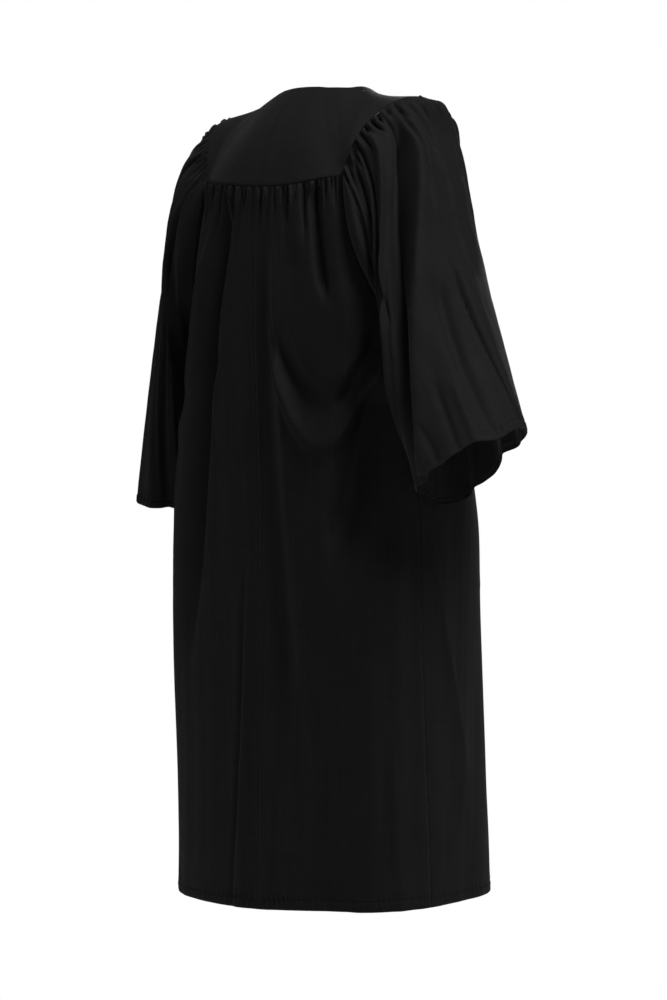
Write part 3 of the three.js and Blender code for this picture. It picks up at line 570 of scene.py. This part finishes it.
def seam_dip(distance, depth=0.6, width=1.1):
    """How the cloth dips into a seam and swells beside it, where its allowance lies behind."""
    distance = np.maximum(distance, 0)
    return 0.4 * bell((distance - 3.5) / 2.5) - depth * np.exp(-distance / width)


def hem_lift(above, across, turn_up, spacing):
    """A sewn hem: a stitch groove where the turn-up ends, puckers beside it and a soft rolled edge."""
    groove = -0.9 * bell((above - turn_up) / 1.5)
    swell = 0.5 * smooth(above / 2) * (1 - smooth((above - turn_up + 2) / 3))
    waves = np.sin(2 * math.pi * across / spacing + 1.9 * np.sin(across / 37) + above / 6)
    strength = 0.7 + 0.5 * np.sin(across / 61 + 1) * np.sin(across / 23)
    puckers = strength * waves * bell((above - turn_up) / 8)
    roll = -1.2 * (1 - smooth(above / 2.2))
    return groove + swell + puckers + roll


placed = len(BACK_LINES[RIGHT]) + len(BACK_LINES[LEFT]) + len(CAP_LINES)
print("waves:", 2 * (BACK_GATHERS["count"] + FRONT_GATHERS["count"] + SLEEVE_GATHERS["count"]))
print("single gathers placed from the photograph:", placed)

# %% [markdown]
# ## The sheets of points
#
# Each piece of cloth is worked out as a grid: rows down the cloth and columns across it, closer together
# near seams and hems, where the small forms are. The yoke's outer edges stand proud of the gathered cloth
# by about a millimetre, because its allowance is turned in behind them, and the panels run up under it.

# %% Work out the sheets of points
ARMHOLE_DEPTH = 245
PANEL_LENGTH = 1060
LAPPED = 0.06  # degrees by which the edges of two panels run past the line of their seam
TAPE_LAP = 0.4  # degrees by which the fronts run on under the zip's tapes
MM_EACH_DEGREE = math.radians(1) * 158  # along the top of a panel
HEM_TURN_UP = 15
CUFF_TURN_UP = 13
TUCKED = 6  # how far the panels and sleeves run in under the yoke's edge


def graded(start, end, step, *fine):
    """Values from start to end, a step apart, or less in each (low, high, step) stretch."""
    values = [start]
    while values[-1] < end:
        here = values[-1]
        values.append(here + min([step, *(s for low, high, s in fine if low <= here < high)]))
    return np.array(values[:-1] + [end])


def back_turn(across, z):
    seam = np.where(z > UNDERARM, read(BACK_ARMHOLE, "turn", z), read(SIDE_SEAM, "turn", z))
    return mix(-LAPPED, seam + LAPPED, across)


def front_turn(across, z):
    seam = np.where(z > UNDERARM, read(FRONT_ARMHOLE, "turn", z), read(SIDE_SEAM, "turn", z))
    return mix(seam - LAPPED, centre_front(z) + TAPE_LAP, across)


def panel_places(share, below, turn_at, side):
    """Turns and levels of a panel, by the share of its width and the distance below the yoke."""
    across = spaced(share)
    top = read(YOKE_HEM, "z", side * turn_at(across, BACK_CORNER["z"])) - KINKED_SEAM
    foot = read(HEM_LINE, "z", side * turn_at(across, HEM))
    hanging = (below - ARMHOLE_DEPTH) / (PANEL_LENGTH - ARMHOLE_DEPTH)
    z = np.where(hanging < 0, mix(top, UNDERARM, below / ARMHOLE_DEPTH), mix(UNDERARM, foot, hanging))
    return side * turn_at(across, z), z, foot


def pressed_lift(turn, z):
    lift = np.zeros(turn.shape)
    for crease in PRESSED:
        rise, spread = crease["rise"], crease["spread"]
        if abs(crease["end"] - crease["start"]) > 2:  # a level crease
            part = (turn - crease["start"]) / (crease["end"] - crease["start"])
            away = z - mix(crease["high"], crease["low"], part)
        else:
            part = (crease["high"] - z) / (crease["high"] - crease["low"])
            away = np.radians(turn - mix(crease["start"], crease["end"], part)) * 220
        lift += rise * np.exp(-np.abs(away) / spread) * smooth(part / 0.12) * smooth((1 - part) / 0.12)
    return lift


def panel_sheet(gathers, lines, turn_at, side, start):
    shares = np.linspace(0, 1, 121)
    finer = (-TUCKED, 6, 1), (6, 40, 2), (40, 200, 4), (1030, 1060, 1.5)
    belows = graded(-TUCKED, PANEL_LENGTH, 7, *finer)
    share, below = np.meshgrid(shares, belows)
    turn, z, foot = panel_places(share, below, turn_at, side)
    wide = np.radians(np.abs(turn)) * body_radius(turn, z)
    edges = [np.abs(np.radians(turn - turn[:, [k]])) * body_radius(turn, z) for k in (0, -1)]
    lift = side * gather_lift(gathers, share, below)
    lift += line_lift(lines, np.abs(turn), below, MM_EACH_DEGREE)
    lift += seam_dip(edges[0], 0.1) + seam_dip(edges[1], 0.1) - 1.5 * (1 - smooth((below + 0.5) / 3))
    for edge in edges:
        seam_waves = np.sin(z / 4.1 + 1.5 * np.sin(z / 33)) * (0.5 + 0.5 * np.sin(z / 71 + start))
        lift += 0.35 * seam_waves * bell((edge - 3) / 5) * smooth(below / 30)
    lift += pressed_lift(turn, z) + hem_lift(z - foot, wide, HEM_TURN_UP, 11)
    calm = smooth(below / 60) * smooth(edges[0] / 15) * smooth(edges[1] / 15)
    lift += calm * 1.1 * drift(wide / 19, z / 150, start)
    lift += calm * 0.35 * drift(wide / 7, z / 45, start + 2)
    points = body_point(turn, z, lift)
    return points, np.stack([side * wide, z, 0 * z], -1)


CUFF_DROOP = {  # how far the cuff hangs past the sections, as a share of the length, round the sleeve
    RIGHT: table("round droop", [
        (0, 0.02), (0.05, 0), (0.15, 0), (0.25, 0.012), (0.35, 0.004), (0.43, 0.018), (0.5, 0),
        (0.65, 0), (0.75, 0), (0.82, 0.03), (0.88, 0.06), (0.95, 0.06), (1, 0.02),
    ]),
    LEFT: table("round droop", [(0, 0.004), (0.25, 0.012), (0.5, 0), (0.75, 0.01), (1, 0.004)]),
}


def sleeve_sheet(side, start):
    rounds = np.linspace(0, 1, 265)
    finer = (-TUCKED, 8, 1), (8, 60, 2.5), (60, 150, 4), (532, 560, 1.5)
    belows = graded(-TUCKED, SLEEVE_LENGTH, 5, *finer)
    along = np.repeat(belows[:, None] / SLEEVE_LENGTH, len(rounds), 1)
    along = along + read(CUFF_DROOP[side], "droop", rounds) * smooth((along - 0.55) / 0.45)
    form = sleeve_form(rounds, along, side)
    share = (rounds - BACK_SHARE) / YOKE_SHARE
    gathered = ((share > 0) & (share < 1))[None, :]
    share, below = np.meshgrid(np.clip(share, 0, 1), belows)
    lift = sleeve_fold_rise(rounds[None, :], along, side)
    lift += np.where(gathered, gather_lift(SLEEVE_GATHERS, share, below), 0)
    lines = drawn_lines(BACK_SHARE, 1 - FRONT_SHARE, 34, 5)
    if side == RIGHT:
        lines = CAP_LINES + [tuple(line) for line in lines if line[0] > 0.59]
    seam_length = np.linalg.norm(np.diff(form[0], axis=0), axis=-1).sum()
    lift += line_lift(lines, rounds[None, :] + 0 * below, below, seam_length)
    steps_across = np.linalg.norm(np.diff(form, axis=1), axis=-1)
    wide = np.concatenate([np.zeros((len(belows), 1)), np.cumsum(steps_across, axis=1)], 1)
    lift += seam_dip(wide) + seam_dip(wide[:, [-1]] - wide) + seam_dip(below, 1.1, 2.5)
    lift -= 1.2 * (1 - smooth((below + 1) / 2))
    lift += hem_lift(SLEEVE_LENGTH - below, wide, CUFF_TURN_UP, 10)
    calm = smooth(below / 60)
    lift += calm * drift(wide / 17, below / 120, start)
    lift += calm * 0.35 * drift(wide / 7, below / 40, start + 2)
    points = form + outward(form, side) * lift[..., None]
    return points, np.stack([wide, -below, 0 * wide], -1)


def yoke_sheet():
    half = np.concatenate([np.linspace(0, 1, 33), np.linspace(1, 2, 57)[1:], np.linspace(2, 3, 21)[1:]])
    near_neck, near_edge = [0, 0.012, 0.03, 0.05], [0.96, 0.975, 0.988, 1, 1.006]
    down = np.concatenate([near_neck, np.linspace(0.08, 0.94, 34), near_edge])
    halves = []
    for side in (LEFT, RIGHT):
        at, part = np.meshgrid(half, down)
        reach = np.linalg.norm(yoke_edge(at, side) - yoke_point(at, 0, side), axis=-1)
        from_neck, from_edge = part * reach, (1 - part) * reach
        lift = 0.8 * bell(from_edge / 9) - 1.1 * (1 - smooth((from_edge + 1.2) / 2.4))
        lift -= 0.9 * (1 - smooth(from_neck / 3)) + 0.35 * bell((from_neck - 7) / 1.2)
        lift += 0.4 * drift(at * 7 + 3 * side, part * 4, 2.0)
        ripple = np.sin(reach * at / 7.5 + 1.3 * np.sin(at * 9)) * bell((from_edge - 4) / 7)
        lift += 0.3 * ripple * (0.6 + 0.4 * np.sin(at * 13))
        points = yoke_point(at, part, side, lift)
        halves.append(points[:, :0:-1] if side == LEFT else points)
    points = np.concatenate(halves, 1)
    return points, points


sheets = {
    "yoke": yoke_sheet(),
    "back_right": panel_sheet(BACK_GATHERS, BACK_LINES[RIGHT], back_turn, RIGHT, 0.3),
    "back_left": panel_sheet(BACK_GATHERS, BACK_LINES[LEFT], back_turn, LEFT, 1.4),
    "front_right": panel_sheet(FRONT_GATHERS, drawn_lines(127, 177, 20, 1), front_turn, RIGHT, 2.2),
    "front_left": panel_sheet(FRONT_GATHERS, drawn_lines(127, 177, 20, 2), front_turn, LEFT, 3.5),
    "sleeve_right": sleeve_sheet(RIGHT, 0.9),
    "sleeve_left": sleeve_sheet(LEFT, 2.7),
}
for name, (points, _) in sheets.items():
    print(name, "has", points.shape[0], "rows of", points.shape[1], "points")

# %% [markdown]
# ## The weave, as a group of nodes
#
# The cloth is a plain-woven polyester: fine threads cross every third of a millimetre, and some are
# thicker than others, which draws faint streaks along and across. The tapes of the zip are woven too, from
# thicker threads, so the weave is built once as a node group and each material gives it its own thread
# size. It puts out a height for the bump, a tone for the colour and a roughness; the tone also carries
# painted shade, darker in the hollows between the threads and lighter on their bulges. It reads a place
# stored on the mesh, in metres of flat cloth, so the threads run along each piece and turn with it.

# %% Build the weave group
PLACE = "cloth_place"


def new_socket(group, name, kind, way, default=None):
    socket = group.interface.new_socket(name=name, in_out=way, socket_type=kind)
    if default is not None:
        socket.default_value = default
    return socket


def plug(tree, node, inputs):
    """Links the sockets among the inputs to a node, and sets the rest as plain values."""
    for name, value in inputs.items():
        if isinstance(value, bpy.types.NodeSocket):
            tree.links.new(value, node.inputs[name])
        else:
            node.inputs[name].default_value = value


def add_node(tree, kind, inputs=None, **settings):
    node = tree.nodes.new(kind)
    for name, value in settings.items():
        setattr(node, name, value)
    plug(tree, node, inputs or {})
    return node


def calculate(tree, operation, *values):
    """A Math node; each value is a socket or a number."""
    return add_node(tree, "ShaderNodeMath", dict(enumerate(values)), operation=operation).outputs[0]


def ranged(tree, value, low, high):
    inputs = {"Value": value, "To Min": low, "To Max": high}
    return add_node(tree, "ShaderNodeMapRange", inputs).outputs["Result"]


def noise_from(tree, place, scale, detail):
    inputs = {"Vector": place, "Scale": scale, "Detail": detail}
    return add_node(tree, "ShaderNodeTexNoise", inputs, noise_dimensions="3D").outputs["Fac"]


def build_weave():
    group = bpy.data.node_groups.new("woven_cloth", "ShaderNodeTree")
    new_socket(group, "Place", "NodeSocketVector", "INPUT")
    new_socket(group, "Threads per metre", "NodeSocketFloat", "INPUT", 3000)
    new_socket(group, "Streaks", "NodeSocketFloat", "INPUT", 0.5)
    for output in ("Height", "Tone and weave shade", "Roughness"):
        new_socket(group, output, "NodeSocketFloat", "OUTPUT")
    given = add_node(group, "NodeGroupInput").outputs
    apart = add_node(group, "ShaderNodeSeparateXYZ", {0: given["Place"]})
    # A plain weave: each check of the cloth bulges where one thread passes over the other
    waves = []
    for way in "XY":
        checks = calculate(group, "MULTIPLY", apart.outputs[way], given["Threads per metre"])
        waves.append(calculate(group, "SINE", calculate(group, "MULTIPLY", checks, math.pi)))
    height = calculate(group, "ABSOLUTE", calculate(group, "MULTIPLY", *waves))
    # Slubs: noise stretched along the threads, once for each way of the weave
    streaks = []
    for stretch, shift in ((9, 420, 9), 0), ((420, 9, 9), 0.37):
        inputs = {0: given["Place"], 1: stretch, 2: (shift, shift, shift)}
        stretched = add_node(group, "ShaderNodeVectorMath", inputs, operation="MULTIPLY_ADD")
        streaks.append(calculate(group, "SUBTRACT", noise_from(group, stretched.outputs[0], 1, 3), 0.5))
    slub = calculate(group, "MULTIPLY", calculate(group, "ADD", *streaks), given["Streaks"])
    cloud = calculate(group, "SUBTRACT", noise_from(group, given["Place"], 14, 4), 0.5)
    worn = calculate(group, "MULTIPLY", cloud, 0.35)
    tone = calculate(group, "ADD", calculate(group, "ADD", slub, worn), 0.5)
    # Painted light and shade: the tone is made lighter on the bulges of the weave and darker in the hollows
    # where the threads dip
    add_node(group, "NodeGroupOutput", {
        "Height": calculate(group, "ADD", height, slub),
        "Tone and weave shade": calculate(group, "ADD", tone, calculate(group, "MULTIPLY", height, 0.15)),
        "Roughness": ranged(group, tone, 0.82, 0.6),
    })
    return group


weave = build_weave()
print("weave group with outputs", [s.name for s in weave.interface.items_tree if s.in_out == "OUTPUT"])

# %% [markdown]
# ## Black polyester
#
# Black cloth in a white studio is never quite black: its threads reflect a little of the room, more at a
# grazing angle. A very dark base colour, a low specular level and a thin sheen give that. The weave group
# varies the colour and the roughness and feeds a Bump node, whose distance is the thickness of a thread;
# its colour includes a painted shade in the hollows of the weave.

# %% The woven materials
def new_material(name):
    material = bpy.data.materials.new(name)
    material.use_nodes = True
    return material, material.node_tree, material.node_tree.nodes["Principled BSDF"]


def colours_between(tree, value, *stops):
    """The colour at a value between two stops, each a value and its colour."""
    ramp = add_node(tree, "ShaderNodeValToRGB", {"Fac": value})
    for element, (position, colour) in zip(ramp.color_ramp.elements, stops):
        element.position = position
        element.color = (*colour, 1)
    return ramp.outputs["Color"]


def raised(tree, height, strength, distance):
    inputs = {"Height": height, "Strength": strength, "Distance": distance}
    return add_node(tree, "ShaderNodeBump", inputs).outputs["Normal"]


def woven_material(name, dark, light, threads, streaks, depth, sheen, specular):
    material, tree, shader = new_material(name)
    place = add_node(tree, "ShaderNodeAttribute", attribute_name=PLACE).outputs["Vector"]
    inputs = {"Place": place, "Threads per metre": threads, "Streaks": streaks}
    woven = add_node(tree, "ShaderNodeGroup", inputs, node_tree=weave).outputs
    # The base colour takes the weave's tone, with its painted shade in the hollows between the threads
    plug(tree, shader, {
        "Base Color": colours_between(tree, woven["Tone and weave shade"], (0.25, dark), (0.85, light)),
        "Roughness": woven["Roughness"],
        "Normal": raised(tree, woven["Height"], 0.5, depth),
        "Specular IOR Level": specular,
        "Sheen Weight": sheen,
        "Sheen Roughness": 0.45,
        "Sheen Tint": (0.8, 0.8, 0.84, 1),
    })
    return material


gown_black = woven_material(
    "gown_black", (0.0045, 0.0045, 0.0047), (0.0098, 0.0098, 0.0102), 3000, 0.5, 0.0002, 0.05, 0.16)
thread_black = woven_material(
    "thread_black", (0.006, 0.006, 0.007), (0.014, 0.014, 0.016), 6000, 0.3, 0.00008, 0.08, 0.3)
tape_black = woven_material(
    "tape_black", (0.004, 0.004, 0.0045), (0.009, 0.009, 0.01), 1600, 0.4, 0.0003, 0.06, 0.2)
print("woven materials:", gown_black.name, thread_black.name, tape_black.name)

# %% [markdown]
# ## Cut the cloth and hang it
#
# Each sheet of points becomes a mesh, and a Solidify modifier gives it the thickness of the cloth, half to
# each side, so it has an inside too, which shows in the cuffs.

# %% Make the pieces of cloth
CLOTH_THICKNESS = 0.6


def new_mesh(name, points, faces, place, material):
    """A smooth mesh that stores a place on the flat cloth at each of its points."""
    mesh = bpy.data.meshes.new(name)
    mesh.from_pydata((points.reshape(-1, 3) * MM).tolist(), [], faces.tolist())
    stored = mesh.attributes.new(PLACE, "FLOAT_VECTOR", "POINT")
    stored.data.foreach_set("vector", (place.reshape(-1, 3) * MM).astype(np.float32).ravel())
    mesh.materials.append(material)
    mesh.shade_smooth()
    piece = bpy.data.objects.new(name, mesh)
    bpy.context.scene.collection.objects.link(piece)
    return piece


def grid_mesh(name, points, place, material):
    rows, columns = points.shape[:2]
    index = np.arange(rows * columns).reshape(rows, columns)
    quads = np.stack([index[:-1, :-1], index[1:, :-1], index[1:, 1:], index[:-1, 1:]], -1)
    return new_mesh(name, points, quads.reshape(-1, 4), place, material)


def cloth_piece(node):
    points, place = sheets[node]
    if not node.endswith("left"):
        points, place = points[:, ::-1], place[:, ::-1]
    piece = grid_mesh("cloth_" + node, points, place, gown_black)
    shell = piece.modifiers.new("thickness of the cloth", "SOLIDIFY")
    shell.thickness = CLOTH_THICKNESS * MM
    shell.offset = 0
    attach(piece, "gown")
    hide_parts(node)
    area = sum(p.area for p in piece.data.polygons)
    print(piece.name, "has", round(area, 3), "square metres of cloth showing")
    return piece


cloths = {node: cloth_piece(node) for node in sheets}

# %% [markdown]
# ## Stitches
#
# The hem and the cuffs are turned up and sewn by machine, and the yoke is stitched close to its edge. A
# stitch is a short piece of thread that dives in at both ends, so each is a small spindle, thickest at its
# middle. One function lays spindles along any row of points, and the same shape serves for the teeth of
# the zip's coil, which are short loops of nylon.

# %% Sew the hems, the cuffs and the yoke
STITCH = {"pitch": 3.0, "length": 2.5, "width": 0.45, "proud": 0.3}


def resample(path, pitch):
    """Places a pitch apart along a row of points, the direction at each and the nearest of the points."""
    lengths = np.concatenate([[0], np.cumsum(np.linalg.norm(np.diff(path, axis=0), axis=1))])
    at = np.arange(pitch / 2, lengths[-1], pitch)
    places = np.stack([np.interp(at, lengths, path[:, k]) for k in range(3)], -1)
    ahead = np.stack([np.interp(at + 0.5, lengths, path[:, k]) for k in range(3)], -1)
    behind = np.stack([np.interp(at - 0.5, lengths, path[:, k]) for k in range(3)], -1)
    nearest = [int(np.argmin(np.linalg.norm(path - place, axis=1))) for place in places]
    return places, unit(ahead - behind), nearest


def spindles(name, places, ways, faces, length, width, height, material, slot):
    """One mesh of many small spindles, each lying along its way and facing outwards."""
    sides = unit(np.cross(ways, faces))
    half = np.array([length, width, height])[:, None] / 2
    corners = np.stack([
        places - ways * half[0], places + sides * half[1], places + faces * half[2],
        places - sides * half[1], places - faces * half[2], places + ways * half[0],
    ], 1)
    one = np.array([
        (0, 2, 1), (0, 3, 2), (0, 4, 3), (0, 1, 4), (5, 1, 2), (5, 2, 3), (5, 3, 4), (5, 4, 1),
    ])
    triangles = (one[None] + 6 * np.arange(len(places))[:, None, None]).reshape(-1, 3)
    piece = new_mesh(name, corners, triangles, corners, material)
    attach(piece, "gown")
    return piece


def stitch_row(name, lines):
    """Stitches along each of several (path, outward direction) lines."""
    laid = []
    for path, faces in lines:
        places, ways, nearest = resample(path, STITCH["pitch"])
        facing = faces[nearest]
        laid.append((places + facing * STITCH["proud"], ways, facing))
    places, ways, facing = (np.concatenate(column) for column in zip(*laid))
    sizes = STITCH["length"], STITCH["width"], STITCH["width"]
    return spindles(name, places, ways, facing, *sizes, thread_black, "cloth")


def row_at(node, row):
    points, _ = sheets[node]
    side = LEFT if node.endswith("left") else RIGHT
    return points[row], outward(points, side)[row]


def row_above_edge(node, distance):
    """The row of a sheet that lies this far up from its lower edge."""
    points, _ = sheets[node]
    middle = points[:, points.shape[1] // 2]
    up = np.cumsum(np.linalg.norm(np.diff(middle[::-1], axis=0), axis=1))
    return row_at(node, len(middle) - 2 - int(np.argmin(np.abs(up - distance))))


panels = ["back_right", "back_left", "front_right", "front_left"]
hem_stitches = stitch_row("hem_stitches", [row_above_edge(n, HEM_TURN_UP) for n in panels])
cuff_stitches = {
    n: stitch_row("cuff_stitches_" + n.split("_")[1], [row_above_edge(n, CUFF_TURN_UP)])
    for n in ("sleeve_right", "sleeve_left")
}
yoke_stitches = stitch_row("yoke_stitches", [row_at("yoke", 3), row_above_edge("yoke", 5)])
for piece in (hem_stitches, *cuff_stitches.values(), yoke_stitches):
    print(piece.name, "has", len(piece.data.polygons) // 8, "stitches")

# %% [markdown]
# ## What a maker cuts
#
# The sleeves are gathered into the armhole, so the flat sleeve is wider at its head than the armhole is
# long, and the panels are wider than the part of the yoke that carries them.

# %% State the flat cut of each piece
CUTS = {  # width, length and area of the flat piece, in metres
    "yoke": (0.47, 0.36, 0.115, "draped"),
    "back_right": (0.42, 1.09, 0.36, "gathered"),
    "back_left": (0.42, 1.09, 0.36, "gathered"),
    "front_right": (0.48, 1.09, 0.44, "gathered"),
    "front_left": (0.48, 1.09, 0.44, "gathered"),
    "sleeve_right": (0.90, 0.58, 0.31, "gathered"),
    "sleeve_left": (0.90, 0.58, 0.31, "gathered"),
}
for node, (width, length, area, held) in CUTS.items():
    own = {"yoke": [yoke_stitches], "back_right": [hem_stitches]}.get(node, [])
    own = [cuff_stitches[node]] if node in cuff_stitches else own
    print(node, "is cut", width, "by", length, "m")

# %% [markdown]
# ## The zip
#
# A fine nylon zip closes the front. Its two tapes are narrow woven bands, and its teeth are the turns of
# two coils that interlock: below the slider they lie close, above it they part. The coil is a row of
# spindles on each side that lean against each other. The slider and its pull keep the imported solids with
# rounded edges and black enamel, because the pull turns on the slider's bridge as the frame says.

# %% Make the zip
COIL = {"pitch": 1.25, "length": 2.6, "width": 0.75, "height": 1.1, "apart": 0.85, "proud": 0.75}
TAPE_EDGE = ((-4.5, -0.9), (-4.2, -0.3), (-3, -0.1), (-1.8, 0), (-0.9, 0.1))  # place and height across


def zip_path():
    down = yoke_point(3, np.linspace(0, 1, 25), RIGHT)
    levels = np.linspace(-158, ZIP_BAND["foot"], 220)
    path = np.concatenate([down, body_point(180 + 0 * levels, levels)])
    path[:, 0] = 0
    return path


middle = zip_path()
fall = unit(np.gradient(middle, axis=0))
proud = unit(np.cross(fall, (1, 0, 0)))
proud = proud * -np.sign(proud[:, 1:2])
offsets, inset = np.array([*TAPE_EDGE, *((-x, height) for x, height in reversed(TAPE_EDGE))]).T
across = np.array([1.0, 0, 0])
tape = middle[:, None] + offsets[None, :, None] * across + proud[:, None] * inset[None, :, None]
run = np.cumsum(np.linalg.norm(np.diff(middle, axis=0, prepend=middle[:1]), axis=1))
tape_place = np.stack(np.broadcast_arrays(offsets[None, :], run[:, None], 0 * run[:, None]), -1)
zip_tape = grid_mesh("zip_tape", tape, tape_place, tape_black)
tape_shell = zip_tape.modifiers.new("thickness of the tape", "SOLIDIFY")
tape_shell.thickness = 0.6 * MM
tape_shell.offset = 0
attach(zip_tape, "gown")
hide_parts("zip_band")

places, ways, nearest = resample(middle, COIL["pitch"])
facing = proud[nearest]
slider_low, slider_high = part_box("zip_slider")
above = smooth((places[:, 2] * MM - slider_high.z) / 0.02)  # the coils part over 20 mm
coils = []
for side in (RIGHT, LEFT):
    lean = unit(ways * 0.45 + np.array([side, 0, 0]))
    apart = COIL["apart"] * (1 + 1.6 * above)
    centre = places + across * (side * apart)[:, None] + facing * COIL["proud"]
    centre = centre + ways * (0.25 * side * COIL["pitch"])
    coils.append((centre, lean, facing))
centre, lean, facing = (np.concatenate(column) for column in zip(*coils))
sizes = COIL["length"], COIL["width"], COIL["height"]
zip_coil = spindles("zip_coil_teeth", centre, lean, facing, *sizes, thread_black, "zip_coil")
print("zip:", len(centre), "turns of coil")

# %% [markdown]
# ## The enamel of the slider and its pull
#
# The slider is a small casting, enamelled black, and its edges are the first to lose the enamel. Fine
# noise makes the roughness uneven, and a slightly lighter tone spreads over the high spots. A Bevel
# modifier rounds the edges by a fraction of a millimetre, so they catch the light as real ones do.

# %% Finish the slider and the pull
def enamel_material():
    material, tree, shader = new_material("black_enamel")
    where = add_node(tree, "ShaderNodeTexCoord").outputs["Object"]
    noise = noise_from(tree, where, 900, 5)
    plug(tree, shader, {
        "Base Color": colours_between(tree, noise, (0, (0.008, 0.008, 0.009)), (1, (0.03, 0.03, 0.032))),
        "Roughness": ranged(tree, noise, 0.22, 0.42),
        "Normal": raised(tree, noise, 0.15, 0.00005),
        "Metallic": 0.6,
    })
    return material


black_enamel = enamel_material()
for node in ("zip_slider", "zip_pull"):
    part_object = frame["nodes"][node]
    part_object.data.materials.clear()
    part_object.data.materials.append(black_enamel)
    rounded = part_object.modifiers.new("rounded edges", "BEVEL")
    rounded.width = 0.25 * MM
    rounded.segments = 2
    rounded.limit_method = "ANGLE"
    print(node, "finished in", black_enamel.name)

# %% [markdown]
# ## Floor, light and camera
#
# The photograph was taken against a white studio sweep. So the world and the floor are white to the
# camera, while the cloth sees a nearly dark world: an even light from all round would fill every fold and
# turn black cloth grey. Six large soft lamps draw the folds, and the key, high on the camera's right, is
# the strongest of them. Their powers were set by comparing the yoke, the back, the skirt and the sleeves
# with the photograph. A narrow beam from below lights the inside of the right cuff, as the sweep does, and
# one lamp lights the front for views from there. The floor lies below the hem, where the wearer's feet
# would be. The camera stands behind the wearer's right shoulder, far off, so the lens is long.

# %% Stage, light and camera
CAMERA = {
    "azimuth": 224, "elevation": 2.42, "distance": 4.2, "aim": -0.622, "lens": 99.72, "shift": 0.0035,
}
FLOOR_LEVEL = -1.42
LAMP_AIM = -0.5
DARK_WORLD = 0.02
LAMPS = {  # degrees round from the camera, degrees up, metres away, size in metres and power in watts
    "right": (56, 12, 3.0, 1.2, 5), "key": (34, 52, 3.0, 1.2, 57), "overhead": (20, 80, 2.4, 1.4, 3),
    "left": (-102, 26, 3.2, 1.4, 8), "fill": (-14, 30, 3.5, 1.6, 8), "front": (166, 25, 3.0, 1.4, 40),
}
CUFF_BEAM = {"aim": (-0.38, 0.03, -0.52), "round": -12, "up": -30, "away": 1.6, "wide": 13, "power": 45}


def toward(azimuth, elevation):
    a, e = math.radians(azimuth), math.radians(elevation)
    return Vector((math.sin(a) * math.cos(e), -math.cos(a) * math.cos(e), math.sin(e)))


def make_floor():
    rings, spokes = 6, 48
    turns = np.linspace(0, 2 * math.pi, spokes, endpoint=False)
    radii = np.linspace(1.2, 9, rings)
    verts = [(0, 0, FLOOR_LEVEL)] + [
        (r * math.cos(t), r * math.sin(t), FLOOR_LEVEL) for r in radii for t in turns]
    faces = [(0, 1 + i, 1 + (i + 1) % spokes) for i in range(spokes)]
    for r in range(rings - 1):
        for i in range(spokes):
            a, b = 1 + r * spokes + i, 1 + r * spokes + (i + 1) % spokes
            faces.append((a, a + spokes, b + spokes, b))
    mesh = bpy.data.meshes.new("studio_floor")
    mesh.from_pydata(verts, [], faces)
    floor = bpy.data.objects.new("studio_floor", mesh)
    bpy.context.scene.collection.objects.link(floor)
    paper, tree, shader = new_material("white_paper")
    plug(tree, shader, {"Base Color": (0.8, 0.8, 0.8, 1), "Roughness": 0.9, "Specular IOR Level": 0.1})
    white = add_node(tree, "ShaderNodeEmission", {"Strength": 1.0}).outputs["Emission"]
    to_camera = add_node(tree, "ShaderNodeLightPath").outputs["Is Camera Ray"]
    seen = add_node(tree, "ShaderNodeMixShader", {0: to_camera, 1: shader.outputs["BSDF"], 2: white})
    plug(tree, tree.nodes["Material Output"], {"Surface": seen.outputs["Shader"]})
    mesh.materials.append(paper)
    return floor


def new_lamp(name, kind, aim, azimuth, elevation, distance, power):
    """A lamp that stands off from its aim and faces it."""
    data = bpy.data.lights.new(name, kind)
    data.energy = power
    lamp = bpy.data.objects.new(name, data)
    way = toward(CAMERA["azimuth"] + azimuth, elevation)
    lamp.location = Vector(aim) + way * distance
    lamp.rotation_mode = "QUATERNION"
    lamp.rotation_quaternion = way.to_track_quat("Z", "Y")
    bpy.context.scene.collection.objects.link(lamp)
    return data


def soft_lamp(name, azimuth, elevation, distance, size, power):
    data = new_lamp(name, "AREA", (0, 0, LAMP_AIM), azimuth, elevation, distance, power)
    data.shape = "DISK"
    data.size = size


def cuff_beam(aim, azimuth, elevation, distance, width, power):
    """A narrow soft beam, as the white sweep throws up into an open cuff."""
    data = new_lamp("sweep", "SPOT", aim, azimuth, elevation, distance, power)
    data.spot_size = math.radians(width)
    data.spot_blend = 1
    data.shadow_soft_size = 0.1


def make_camera():
    data = bpy.data.cameras.new("camera")
    data.lens = CAMERA["lens"]
    data.sensor_width = 36
    data.shift_x = CAMERA["shift"]
    data.clip_end = 50
    camera = bpy.data.objects.new("camera", data)
    back = toward(CAMERA["azimuth"], CAMERA["elevation"])
    camera.location = Vector((0, 0, CAMERA["aim"])) + back * CAMERA["distance"]
    camera.rotation_mode = "QUATERNION"
    camera.rotation_quaternion = back.to_track_quat("Z", "Y")
    bpy.context.scene.collection.objects.link(camera)
    bpy.context.scene.camera = camera
    return camera


make_floor()
world = bpy.data.worlds.new("white studio")
bpy.context.scene.world = world
world.use_nodes = True
to_camera = add_node(world.node_tree, "ShaderNodeLightPath").outputs["Is Camera Ray"]
plug(world.node_tree, world.node_tree.nodes["Background"], {
    "Color": (1, 1, 1, 1),
    "Strength": ranged(world.node_tree, to_camera, DARK_WORLD, 1.0),
})
for name, measures in LAMPS.items():
    soft_lamp(name, *measures)
cuff_beam(*CUFF_BEAM.values())
camera = make_camera()
bpy.context.scene.view_settings.view_transform = "Standard"
print("lamps:", ", ".join(LAMPS), "and sweep")
print("camera at", [round(v, 2) for v in camera.location])
